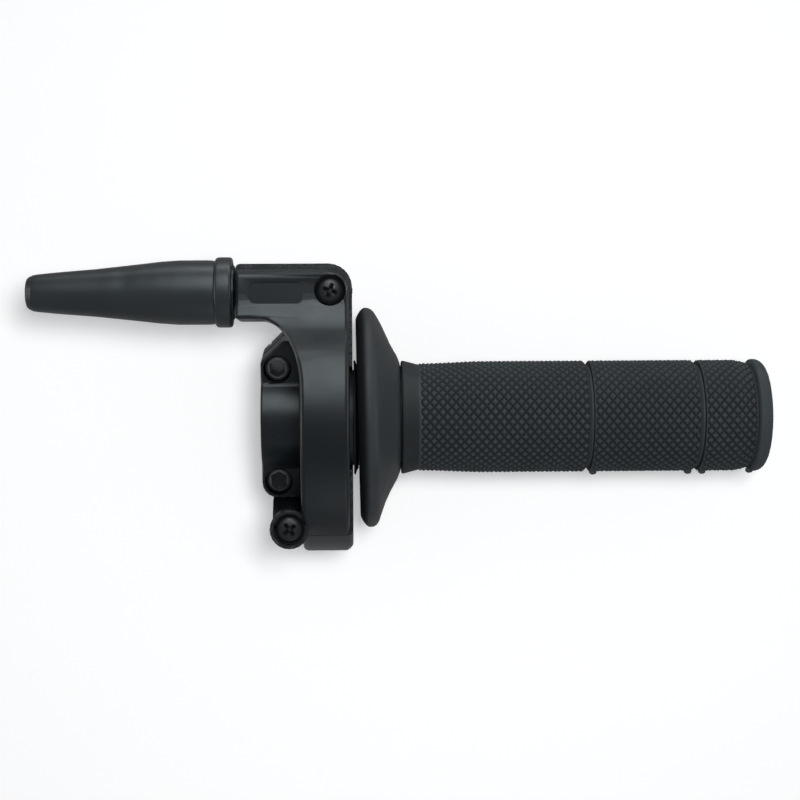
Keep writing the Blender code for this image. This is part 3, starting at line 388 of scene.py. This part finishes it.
def finish(name, look):
    # base colour under flecks, smears and scuffs, lighter on the edges (wear, and painted highlight on the
    # paint, the grip's pads and the socket screws), and darker by painted shade in the valleys of the knurl
    # and wherever else the valley attribute is set
    material = bpy.data.materials.new(name)
    material.use_nodes = True
    tree = material.node_tree
    shader = tree.nodes["Principled BSDF"]
    shader.location = (900, 0)
    shader.inputs["Metallic"].default_value = look.get("metal", 0.0)
    shader.inputs["Specular IOR Level"].default_value = look.get("specular", 0.5)
    shader.inputs["Specular Tint"].default_value = (*look.get("tint", (0.86, 0.95, 1.0)), 1)
    shader.inputs["Coat Roughness"].default_value = 0.3
    shader.inputs["Coat Weight"].default_value = look.get("coat", 0.0)
    place = addNode(tree, "ShaderNodeTexCoord", (-900, 0))
    groups = []
    for group, top, values in (
        (surfaceGrain, 300, {"Grain": look["grain"], "Ripple": look["ripple"]}),
        (handlingMarks, 0, {"Patch": look["patch"], "Scuff": look["scuff"]}),
        (edgeWearAndHighlight, -300, {"Edge": look.get("edge", 0.54), "Breakup": look["grain"] * 0.3}),
    ):
        made = addNode(tree, "ShaderNodeGroup", (-600, top), node_tree=group)
        for key, value in values.items():
            made.inputs[key].default_value = value
        tree.links.new(place.outputs["Object"], made.inputs["Vector"])
        groups.append(made)
    grain, marks, wearAndHighlight = groups
    colour = None
    for source, socket, shade, share in (
        (grain, "Fleck", look["fleck"], look.get("fleckShare", 0.5)),
        (marks, "Smear", look["smear"], look.get("smearShare", 0.6)),
        (marks, "Scuffs", look["wornAndHighlight"], look.get("scuffShare", 0.25)),
        (wearAndHighlight, "WearAndHighlight", look["wornAndHighlight"], look.get("wearAndHighlightShare", 0.4)),
    ):
        amount = addNode(tree, "ShaderNodeMath", (-250, 300), {1: share}, operation="MULTIPLY")
        mix = addNode(tree, "ShaderNodeMix", (0, 300), data_type="RGBA")
        mix.inputs["A"].default_value = (*look["colour"], 1)
        mix.inputs["B"].default_value = (*shade, 1)
        wire(tree, (source.outputs[socket], amount.inputs[0]), (amount.outputs[0], mix.inputs["Factor"]))
        if colour:
            tree.links.new(colour.outputs["Result"], mix.inputs["A"])
        colour = mix
    # painted shade: the valley attribute mixes the look's valley colour into the base colour
    if "valley" in look:
        low = addNode(tree, "ShaderNodeAttribute", (-600, 600), attribute_name="valley")
        deep = addNode(tree, "ShaderNodeMapRange", (-300, 600), {1: 0.12, 2: 0.8, 3: 0.0, 4: 1.0})
        mix = addNode(tree, "ShaderNodeMix", (200, 500), data_type="RGBA")
        mix.inputs["B"].default_value = (*look["valley"], 1)
        wire(tree, (low.outputs["Fac"], deep.inputs[0]), (deep.outputs[0], mix.inputs["Factor"]))
        wire(tree, (colour.outputs["Result"], mix.inputs["A"]))
        colour = mix
    polished, matt = look["rough"]
    rough = addNode(tree, "ShaderNodeMapRange", (300, 0), {1: 0.0, 2: 1.0, 3: matt, 4: polished})
    bump = addNode(tree, "ShaderNodeBump", (600, -300),
                   {"Strength": look["bump"], "Distance": look["depth"] * mm})
    wire(
        tree,
        (colour.outputs["Result"], shader.inputs["Base Color"]),
        (marks.outputs["Smear"], rough.inputs[0]), (rough.outputs[0], shader.inputs["Roughness"]),
        (grain.outputs["Height"], bump.inputs["Height"]), (bump.outputs["Normal"], shader.inputs["Normal"]),
    )
    return material


# painted highlight: the paint's lighter edges stand for the highlights along its rounded edges; its scuffs
# are wear
paintedAlloy = finish("satin_black_paint", {
    "colour": (0.0026, 0.004, 0.005), "fleck": (0.0075, 0.01, 0.0115), "smear": (0.0045, 0.0062, 0.0074),
    "wornAndHighlight": (0.085, 0.092, 0.097),
    "rough": (0.31, 0.4), "grain": 3800.0, "ripple": 520.0, "patch": 45.0, "scuff": 420.0, "bump": 0.22,
    "depth": 0.06, "wearAndHighlightShare": 0.35, "scuffShare": 0.12})
# the grip's pad tips are lighter as wear and painted highlight; its valley colour is painted shade
gripRubber = finish("grip_rubber", {
    "colour": (0.031, 0.0375, 0.0415), "fleck": (0.04, 0.047, 0.0515), "smear": (0.039, 0.0455, 0.0505),
    "wornAndHighlight": (0.092, 0.102, 0.11),
    "rough": (0.62, 0.78), "grain": 5200.0, "ripple": 900.0, "patch": 55.0, "scuff": 600.0, "bump": 0.3,
    "depth": 0.06, "specular": 0.45, "wearAndHighlightShare": 0.5, "edge": 0.53, "valley": (0.0095, 0.012, 0.0135)})
# the flange's valley colour is painted shade
flangeRubber = finish("flange_rubber", {
    "colour": (0.0195, 0.0235, 0.0265), "fleck": (0.029, 0.033, 0.036), "smear": (0.027, 0.031, 0.034),
    "wornAndHighlight": (0.055, 0.06, 0.064),
    "rough": (0.5, 0.64), "grain": 4600.0, "ripple": 260.0, "patch": 40.0, "scuff": 350.0, "bump": 0.22,
    "depth": 0.08, "wearAndHighlightShare": 0.1, "valley": (0.006, 0.0075, 0.0085)})
bootRubber = finish("boot_rubber", {
    "colour": (0.0135, 0.0168, 0.019), "fleck": (0.02, 0.024, 0.0268), "smear": (0.021, 0.025, 0.028),
    "wornAndHighlight": (0.048, 0.05, 0.052),
    "rough": (0.34, 0.44), "grain": 4200.0, "ripple": 240.0, "patch": 50.0, "scuff": 380.0, "bump": 0.25,
    "depth": 0.08, "wearAndHighlightShare": 0.1})
blackSteel = finish("black_oxide_steel", {
    "colour": (0.03, 0.031, 0.034), "fleck": (0.06, 0.06, 0.062), "smear": (0.045, 0.046, 0.048),
    "wornAndHighlight": (0.2, 0.19, 0.18),
    "metal": 0.75, "rough": (0.3, 0.44), "grain": 5000.0, "ripple": 700.0, "patch": 160.0, "scuff": 900.0,
    "bump": 0.18, "depth": 0.03, "wearAndHighlightShare": 0.3})
platedSteel = finish("zinc_plated_steel", {
    "tint": (1.0, 1.0, 1.0),
    "colour": (0.58, 0.58, 0.57), "fleck": (0.66, 0.66, 0.65), "smear": (0.5, 0.5, 0.48),
    "wornAndHighlight": (0.7, 0.7, 0.69),
    "metal": 1.0, "rough": (0.26, 0.4), "grain": 5000.0, "ripple": 900.0, "patch": 140.0, "scuff": 900.0,
    "bump": 0.15, "depth": 0.03})
# the clamp screws' steel: a lighter copy of the black oxide steel, painted light against the shade of their
# deep pockets, with painted highlights on the edges of their heads
lightenedSocketSteel = finish("oxide_steel_painted_lighter", {
    "colour": (0.15, 0.159, 0.165), "fleck": (0.22, 0.22, 0.22), "smear": (0.13, 0.134, 0.14),
    "wornAndHighlight": (0.5, 0.5, 0.5),
    "metal": 0.9, "rough": (0.3, 0.42), "grain": 5000.0, "ripple": 700.0, "patch": 160.0, "scuff": 900.0,
    "bump": 0.2, "depth": 0.03, "wearAndHighlightShare": 0.5})
brass = finish("turned_brass", {
    "tint": (1.0, 1.0, 1.0),
    "colour": (0.6, 0.43, 0.19), "fleck": (0.68, 0.5, 0.24), "smear": (0.48, 0.33, 0.14),
    "wornAndHighlight": (0.76, 0.6, 0.33),
    "metal": 1.0, "rough": (0.24, 0.4), "grain": 5000.0, "ripple": 900.0, "patch": 120.0, "scuff": 900.0,
    "bump": 0.15, "depth": 0.03})
mouldedNylon = finish("black_moulded_nylon", {
    "colour": (0.022, 0.023, 0.025), "fleck": (0.035, 0.036, 0.038), "smear": (0.03, 0.031, 0.033),
    "wornAndHighlight": (0.08, 0.08, 0.08),
    "rough": (0.42, 0.56), "grain": 3600.0, "ripple": 300.0, "patch": 60.0, "scuff": 380.0, "bump": 0.2,
    "depth": 0.05})
whiteAcetal = finish("white_acetal", {
    "tint": (1.0, 1.0, 1.0),
    "colour": (0.72, 0.71, 0.67), "fleck": (0.76, 0.75, 0.72), "smear": (0.66, 0.65, 0.6),
    "wornAndHighlight": (0.55, 0.54, 0.5),
    "rough": (0.35, 0.48), "grain": 3600.0, "ripple": 300.0, "patch": 90.0, "scuff": 500.0, "bump": 0.12,
    "depth": 0.03})
print("stage: finishes")


# Grip: a plain sleeve with its collar, grooves and end flange, under three bands of raised diamonds

sleeve = {
    "left": 33.75, "right": 138.2, "bore": 13.3, "inside": 135.4, "crest": 16.0, "waist": 15.4,
    "waistEnd": 39.0,
    "lip": 16.25, "taper": 19.0, "groove": 14.6, "firstGroove": (86.0, 87.6), "secondGroove": (117.2, 118.9),
    "ramps": (0.4, 0.5), "flange": (134.0, 16.2), "corner": 3.0, "endTaper": 4.6, "steps": 144,
    "collarShade": 0.8,
}
pads = {
    "round": 34, "pitch": 2.44, "height": 0.58, "side": 0.62, "sideShare": 0.85, "shoulder": 0.16,
    "shoulderShare": 0.15, "crown": 0.1, "under": 0.95, "weld": 0.09, "hem": 0.93, "hemInside": 14.9,
}
vents = {
    "angle": 176, "reach": 1.15, "radius": 0.85, "flare": 1.25,
    # along the bar, and out from its axis
    "places": ((88.8, 16.1), (116.2, 16.1), (120.3, 16.1), (134.0, 15.9)),
}


def grooveOutline(start, end, ramp):
    under, floorRadius = sleeve["crest"] - pads["under"], sleeve["groove"]
    outline = [(start - 0.2, under), (start, sleeve["crest"] - 0.3), (start + ramp, 15.35),
               (end - 0.6, floorRadius)]
    outline += [(end - 0.1, floorRadius), (end, 14.9), (end + 0.04, 15.7), (end + 0.3, 15.8),
                (end + 0.5, under)]
    return outline


def sleeveProfile():
    s = sleeve
    left, right, lip, waistEnd, corner = s["left"], s["right"], s["lip"], s["waistEnd"], s["corner"]
    under = s["crest"] - pads["under"]
    flange, rim = s["flange"]
    outline = [(s["inside"], 0), (s["inside"], s["bore"]), (left, s["bore"])]
    outline += [(left, lip - 0.5), (left + 0.12, lip - 0.15), (left + 0.45, lip), (left + 0.9, lip - 0.1)]
    outline += [(left + 2.1, 15.85), (left + 3.4, 15.5), (waistEnd - 0.7, 15.18), (waistEnd, 15.1)]
    outline += [(waistEnd + 0.1, s["waist"] - pads["under"]), (waistEnd + s["taper"], under)]
    outline += grooveOutline(*s["firstGroove"], s["ramps"][0])
    outline += grooveOutline(*s["secondGroove"], s["ramps"][1])
    outline += [(flange - 4.2, under), (flange - 1.4, 14.5), (flange - 0.2, 14.4)]
    outline += [(flange, 15.1), (flange + 0.12, 15.6), (flange + 0.5, rim - 0.1), (flange + 1.0, rim)]
    outline += curvePoints((right - corner, rim - corner), corner, 90, 0, 8)
    outline += [(right + 0.05, 9.0), (right + 0.1, 5.0), (right + 0.1, 0)]
    return outline


def markPaintedShade(piece, test):  # painted shade, from 0 to 1: the finish is darkest there
    marks = piece.data.attributes.new("valley", "FLOAT", "POINT")
    for vert in piece.data.vertices:
        marks.data[vert.index].value = float(test(vert.co))


def diamondBand(name, left, right, taperLeft=0.0, taperRight=0.0):
    # one diamond is raised and crowned, spun round the bar with its offset neighbour, and repeated along it
    valley = (sleeve["crest"] - pads["height"]) * mm
    turn = math.pi / pads["round"]
    count = math.ceil((right - left) / pads["pitch"]) + 1
    pitch = pads["pitch"] * mm
    bpy.ops.object.select_all(action="DESELECT")
    bpy.ops.mesh.primitive_circle_add(vertices=4, radius=1, fill_type="NGON", location=(left * mm, 0, valley))
    bpy.context.active_object.scale = (pitch / 2, valley * math.tan(turn), 1)
    band = newest(name)
    startEditing(band)
    bpy.ops.mesh.inset(thickness=pads["side"] * mm, depth=pads["height"] * pads["sideShare"] * mm)
    bpy.ops.mesh.inset(thickness=pads["shoulder"] * mm, depth=pads["height"] * pads["shoulderShare"] * mm)
    bpy.ops.mesh.poke(offset=pads["crown"] * mm)
    stopEditing()
    # painted shade on the valley floor between the diamonds
    markPaintedShade(band, lambda co: co.z < valley + 0.01 * mm)
    startEditing(band)
    bpy.ops.mesh.duplicate()
    bpy.ops.transform.rotate(value=turn, orient_axis="X", center_override=(0, 0, 0))
    bpy.ops.transform.translate(value=(pitch / 2, 0, 0))
    bpy.ops.mesh.select_all(action="SELECT")
    bpy.ops.mesh.spin(
        steps=pads["round"] - 1, dupli=True, angle=math.tau - 2 * turn, center=(0, 0, 0), axis=(1, 0, 0))
    bpy.ops.mesh.select_all(action="SELECT")
    bpy.ops.mesh.remove_doubles(threshold=pads["weld"] * mm)
    stopEditing()
    rows = band.modifiers.new("rows", "ARRAY")
    rows.use_relative_offset = False
    rows.use_constant_offset = True
    rows.constant_offset_displace = (pitch, 0, 0)
    rows.count = count
    bpy.ops.object.modifier_apply(modifier=rows.name)
    startEditing(band)
    bpy.ops.mesh.remove_doubles(threshold=pads["weld"] * mm)
    for place, way in ((left, 1), (right, -1)):
        bpy.ops.mesh.select_all(action="SELECT")
        bpy.ops.mesh.bisect(plane_co=(place * mm, 0, 0), plane_no=(way, 0, 0), clear_inner=True)
    for place, amount, reach in ((left, taperLeft, sleeve["taper"]), (right, taperRight, sleeve["endTaper"])):
        if amount:
            pickVerts(band, lambda co: abs(co.x - place * mm) < 0.02 * mm)
            share = 1 - amount / sleeve["crest"]
            bpy.ops.transform.resize(
                value=(1, share, share), center_override=(place * mm, 0, 0), use_proportional_edit=True,
                proportional_edit_falloff="SMOOTH", proportional_size=reach * mm)
    for place in (left, right):
        pickVerts(band, lambda co: abs(co.x - place * mm) < 0.02 * mm)
        bpy.ops.mesh.extrude_edges_move(TRANSFORM_OT_translate={"value": (0, 0, 0)})
        bpy.ops.transform.resize(value=(1, pads["hem"], pads["hem"]), center_override=(place * mm, 0, 0))
    pickVerts(band, lambda co: math.hypot(co.y, co.z) < pads["hemInside"] * mm)
    bpy.ops.mesh.select_mode(type="EDGE")
    bpy.ops.mesh.bridge_edge_loops()
    bpy.ops.mesh.select_all(action="SELECT")
    bpy.ops.mesh.normals_make_consistent(inside=False)
    stopEditing()
    return band


def ventNub(name, along, out):
    # the pip of rubber that an air vent of the mould leaves beside a groove
    away = math.radians(vents["angle"])
    reach, radius, flare = vents["reach"], vents["radius"], vents["flare"]
    place = (along * mm, out * math.cos(away) * mm, out * math.sin(away) * mm)
    bpy.ops.object.select_all(action="DESELECT")
    bpy.ops.mesh.primitive_uv_sphere_add(segments=12, ring_count=8, radius=radius * mm, location=place)
    bpy.context.active_object.scale = (reach / radius, 1, 1)
    nub = newest(name)
    startEditing(nub)
    pickVerts(nub, lambda co: co.x > (along + reach * 0.6) * mm)
    bpy.ops.transform.resize(value=(1, flare, flare), center_override=place)
    stopEditing()
    return smoothEdges(nub, 60)


grip = latheShape("grip_sleeve", sleeveProfile(), sleeve["steps"])
groovePlaces = sleeve["firstGroove"] + sleeve["secondGroove"]
# painted shade: the collar darker all round, and thin rings at the edges of each groove
markPaintedShade(grip, lambda co: sleeve["collarShade"] if co.x < sleeve["waistEnd"] * mm else any(
    abs(co.x - place * mm) < 0.05 * mm for place in groovePlaces))
smoothEdges(grip, 35)
bands = [
    diamondBand("first_band", sleeve["waistEnd"], sleeve["firstGroove"][0], taperLeft=0.6),
    diamondBand("second_band", sleeve["firstGroove"][1] + 0.3, sleeve["secondGroove"][0]),
    diamondBand("third_band", sleeve["secondGroove"][1] + 0.3, sleeve["flange"][0] - 0.6, taperRight=0.8),
]
for band in bands:
    smoothEdges(band, 20)
nubs = [ventNub("nub_%d" % index, *place) for index, place in enumerate(vents["places"])]
grip.data.materials.append(gripRubber)
joinPieces(grip, bands + nubs)
dress(grip, gripRubber, "rubber", "throttle", "grip")
print("stage: grip", len(grip.data.polygons))


# Mud flange: a soft cupped disc whose rim leans a little

flangeShape = {
    "left": 21.4, "right": 33.5, "rim": 31.45, "bore": 13.3, "steps": 128, "lean": 1.2, "leanAt": 24.0,
    "leanOver": 8.0, "lipRight": 25.2, "lipInside": 28.0, "shade": 0.75, "shadeOver": 3.0,
}


def flangeProfile():
    f = flangeShape
    left, right, rim, bore = f["left"], f["right"], f["rim"], f["bore"]
    outline = [(right, bore), (right, 14.9), (right - 0.15, 15.6), (right - 0.6, 16.9), (right - 1.1, 18.0)]
    outline += [(right - 1.7, 19.0), (right - 3.0, 21.4), (right - 4.4, 24.5), (right - 5.3, 26.7)]
    outline += [(left + 6.0, 28.5), (left + 5.5, 29.6), (left + 5.0, 30.4), (left + 4.4, 31.0),
                (left + 3.7, rim - 0.1)]
    outline += [(left + 3.0, rim), (left + 2.3, rim - 0.05), (left + 1.7, 31.0), (left + 1.1, 30.3)]
    outline += [(left + 0.6, 29.5), (left + 0.2, 28.7), (left, 28.0), (left + 0.5, 27.7), (left + 1.5, 27.4)]
    outline += [(left + 2.6, 26.4), (left + 3.6, 25.2), (right - 6.4, 21.0)]
    outline += [(right - 5.75, 18.6), (right - 5.72, 16.1), (right - 5.7, bore)]
    return outline


flange = latheShape("flange_disc", flangeProfile(), flangeShape["steps"])
startEditing(flange)
lipRight = flangeShape["lipRight"] * mm
pickVerts(flange, lambda co: co.x < lipRight and math.hypot(co.y, co.z) > flangeShape["lipInside"] * mm)
bpy.ops.transform.rotate(
    value=math.radians(-flangeShape["lean"]), orient_axis="Z",
    center_override=(flangeShape["leanAt"] * mm, 0, 0),
    use_proportional_edit=True, proportional_edit_falloff="SMOOTH",
    proportional_size=flangeShape["leanOver"] * mm)
stopEditing()
smoothEdges(flange, 50)
# painted shade: the flange's left lip darkened towards the housing that shades it
shadeOver = flangeShape["shadeOver"] * mm
markPaintedShade(flange, lambda co: max(0.0, min(flangeShape["shade"], (lipRight - co.x) / shadeOver)))
dress(flange, flangeRubber, "rubber", "throttle", "mud_flange")
print("stage: flange")


# Dust seal: a thin lip of rubber between the housing and the flange

sealShape = {
    "outline": (
        (20.2, 14.0), (20.2, 16.1), (20.3, 16.35), (20.5, 16.4), (20.7, 16.3), (20.9, 15.7), (21.1, 15.0),
        (21.35, 14.75), (21.5, 14.5), (21.5, 14.1), (21.4, 14.0)),
    "steps": 96,
}
seal = latheShape("seal_ring", sealShape["outline"], sealShape["steps"])
smoothEdges(seal, 50)
dress(seal, flangeRubber, "rubber", "housing", "dust_seal")
print("stage: seal")


# Cable boot: a tapered rubber sleeve, creased where the adjuster under it ends

boot = {
    "axis": (34.9, 18.5), "left": -69.5, "right": -13.0, "tipBore": 3.1, "lip": 9.7, "steps": 96,
    "swell": (  # place along the bar, and radius
        (-67.8, 4.98), (-66.4, 5.2), (-61.2, 5.72), (-50.2, 6.6), (-39.1, 7.8), (-33.0, 8.5), (-28.0, 8.87),
        (-22.5, 8.9)),
    "ringSpacing": 1.6,
    # place, reach, depth, side
    "creases": ((-42.2, 3.2, 0.16, 60), (-29.6, 3.6, 0.24, 250), (-21.5, 2.6, 0.14, 150)),
}


def bootProfile():
    left, right, lip, swell = boot["left"], boot["right"], boot["lip"], boot["swell"]
    outline = [(left, boot["tipBore"]), (left, 3.6), (left + 0.12, 3.95), (left + 0.5, 4.35),
               (left + 1.0, 4.66)]
    outline += [(left + 1.6, 4.86)]
    for (before, low), (after, high) in zip(swell, swell[1:]):
        steps = math.ceil((after - before) / boot["ringSpacing"])
        for step in range(steps):
            outline.append((before + (after - before) * step / steps, low + (high - low) * step / steps))
    outline += [swell[-1], (-20.2, 8.9), (-18.7, 8.86), (right - 5.0, 8.75)]
    outline += [(right - 4.8, 8.7), (right - 4.65, 8.95), (right - 4.5, 9.3), (right - 4.2, 9.55),
                (right - 3.8, lip)]
    outline += [(right - 2.4, lip), (right - 0.8, lip), (right - 0.35, 9.6), (right - 0.05, 9.3),
                (right, 9.0)]
    outline += [(right, 7.7), (right - 4.8, 7.7), (right - 5.8, 7.25), (-29.0, 6.6), (-40.0, 5.6),
                (left + 4, 3.6)]
    return outline


bootPiece = latheShape("boot_sleeve", bootProfile(), boot["steps"], boot["axis"])
startEditing(bootPiece)
bootLine = Vector((0, *boot["axis"])) * mm
for place, reach, depth, side in boot["creases"]:
    # the outer skin near one side of the boot is drawn in
    way = Vector((0, math.cos(math.radians(side)), math.sin(math.radians(side))))
    spot = bootLine + Vector((place * mm, 0, 0)) + way * 8 * mm
    pickVerts(bootPiece, lambda co: abs(co.x - place * mm) < 0.9 * mm and (co - spot).length < 4 * mm
              and (co - bootLine - Vector((co.x, 0, 0))).length > 6.8 * mm)
    bpy.ops.transform.translate(
        value=-way * depth * mm, use_proportional_edit=True, proportional_edit_falloff="SMOOTH",
        proportional_size=reach * mm)
stopEditing()
smoothEdges(bootPiece, 50)
dress(bootPiece, bootRubber, "rubber", "housing", "cable_boot")
print("stage: boot")


# Shells and clamp cap: the CAD shapes, joined and smoothed so that the satin paint shows their rounded edges

shells = {"housing_base": "base_shell", "housing_cover": "cover_shell", "clamp_cap": "cap_shell"}
for nodeName, pieceName in shells.items():
    shell = copyNode(nodeName, pieceName)
    smoothEdges(shell, 28)
    dress(shell, paintedAlloy, "painted_alloy", "housing", nodeName)
print("stage: shells")


# Screws: pan heads with a cross recess in the cover, hexagon sockets in the clamp's deep pockets

coverScrew = {
    "head": 3.85, "height": 2.5, "shank": 2.0, "length": 12.0, "crossWide": 1.15, "crossLong": 4.6,
    "crossDeep": 1.9,
}
capScrew = {
    "head": 3.6, "height": 5.0, "shank": 2.5, "length": 13.0, "flats": 4.0, "deep": 2.8, "tilt": 12.0,
    "along": -1.1, "seat": 3.9,
}
screwSteps = 48


def standUp(piece, place, lean=0.0):
    # a shape turned about X is stood up along +Z, leaned about X, and put in its place
    only(piece)
    piece.rotation_euler = (0, -math.pi / 2, 0)
    newest(piece.name)
    piece.rotation_euler = (math.radians(lean), 0, 0)
    piece.location = [value * mm for value in place]
    return newest(piece.name)


def crossCutter(c, turned):
    # one bar of the cross, narrower and shorter towards its floor
    bpy.ops.object.select_all(action="DESELECT")
    bpy.ops.mesh.primitive_cube_add(size=mm, location=(-c["crossDeep"] * mm / 2, 0, 0))
    bar = bpy.context.active_object
    bar.scale = (c["crossDeep"] + 0.6, c["crossLong"], c["crossWide"])
    bar = newest("cross_bar")
    startEditing(bar)
    pickVerts(bar, lambda co: co.x < -c["crossDeep"] * mm * 0.6)
    bpy.ops.transform.resize(value=(1, 0.3, 0.5))
    bpy.ops.mesh.select_all(action="SELECT")
    bpy.ops.transform.rotate(value=math.radians(turned), orient_axis="X", center_override=(0, 0, 0))
    stopEditing()
    return bar


def panHead(name, place, turned):
    c = coverScrew
    head, low = c["head"], -c["height"]
    profile = [(0, 0), (-0.03, 1.0), (-0.12, 1.9), (-0.3, 2.65), (-0.6, 3.2), (-0.95, 3.55), (-1.4, 3.78),
               (-1.9, head)]
    profile += [(low + 0.15, head), (low, head - 0.15), (low, c["shank"] + 0.3), (low - 0.3, c["shank"])]
    profile += [(low - c["length"] + 0.6, c["shank"]), (low - c["length"], c["shank"] - 0.5),
                (low - c["length"], 0)]
    screw = latheShape(name, profile, screwSteps)
    for extra in (0, 90):
        cutAway(screw, crossCutter(c, turned + extra))
    smoothEdges(screw, 32)
    return standUp(screw, place)


def socketHead(name, across, turned):
    c = capScrew
    head, low = c["head"], -c["height"]
    profile = [(0, 0), (0, 2.75), (-0.06, 2.95), (-0.22, 3.2), (-0.45, 3.42), (-0.75, 3.55), (-1.1, head)]
    profile += [(low + 0.2, head), (low, head - 0.2), (low, c["shank"] + 0.3), (low - 0.3, c["shank"])]
    profile += [(low - c["length"] + 0.6, c["shank"]), (low - c["length"], c["shank"] - 0.5),
                (low - c["length"], 0)]
    screw = latheShape(name, profile, screwSteps)
    bpy.ops.object.select_all(action="DESELECT")
    bpy.ops.mesh.primitive_cylinder_add(vertices=6, radius=c["flats"] / math.sqrt(3) * mm,
                                        depth=2 * c["deep"] * mm,
                                        rotation=(math.radians(turned), math.pi / 2, 0))
    socket = newest("socket")
    startEditing(socket)
    pickVerts(socket, lambda co: co.x > 0)
    bpy.ops.transform.resize(value=(1, 1.25, 1.25))
    bpy.ops.mesh.select_all(action="SELECT")
    bpy.ops.mesh.subdivide(number_cuts=1)
    pickVerts(socket, lambda co: co.x < 0.01 * mm and co.x > -c["deep"] * mm * 0.5)
    bpy.ops.transform.translate(value=(-0.35 * mm, 0, 0))
    bpy.ops.transform.resize(value=(1, 0.9, 0.9))
    stopEditing()
    cutAway(screw, socket)
    smoothEdges(screw, 32)
    lean = math.radians(c["tilt"])
    rise = c["seat"] + c["height"]
    out = across * math.cos(lean) - rise * math.sin(lean)
    up = across * math.sin(lean) + rise * math.cos(lean)
    return standUp(screw, (c["along"], out, up), c["tilt"])


for name, nodeName, place, turned in (
    ("upper_cover_screw", "cover_screw_upper", (13.9, 34.9, 26.5), 20),
    ("lower_cover_screw", "cover_screw_lower", (2.4, -30.3, 24.2), 52),
):
    dress(panHead(name, place, turned), blackSteel, "black_steel", "housing", nodeName)
for name, nodeName, across, turned in (
    ("upper_clamp_screw", "clamp_screw_upper", 16.2, 10),
    ("lower_clamp_screw", "clamp_screw_lower", -16.2, 34),
):
    dress(socketHead(name, across, turned), lightenedSocketSteel, "black_steel", "housing", nodeName)
print("stage: screws")


# The CAD pieces that stay get their finishes

plain = {
    "throttle_tube": mouldedNylon, "thrust_washer": whiteAcetal, "cable_roller": whiteAcetal,
    "roller_pin": platedSteel,
    "cover_insert_upper": brass, "cover_insert_lower": brass, "cable_inlet": blackSteel,
    "adjuster_lock_nut": platedSteel,
    "adjuster_barrel": platedSteel, "clamp_nut_upper": platedSteel, "clamp_nut_lower": platedSteel,
}
for nodeName, material in plain.items():
    node = frame["nodes"][nodeName]
    for index in range(len(node.material_slots)):
        node.material_slots[index].material = material
print("stage: CAD pieces")
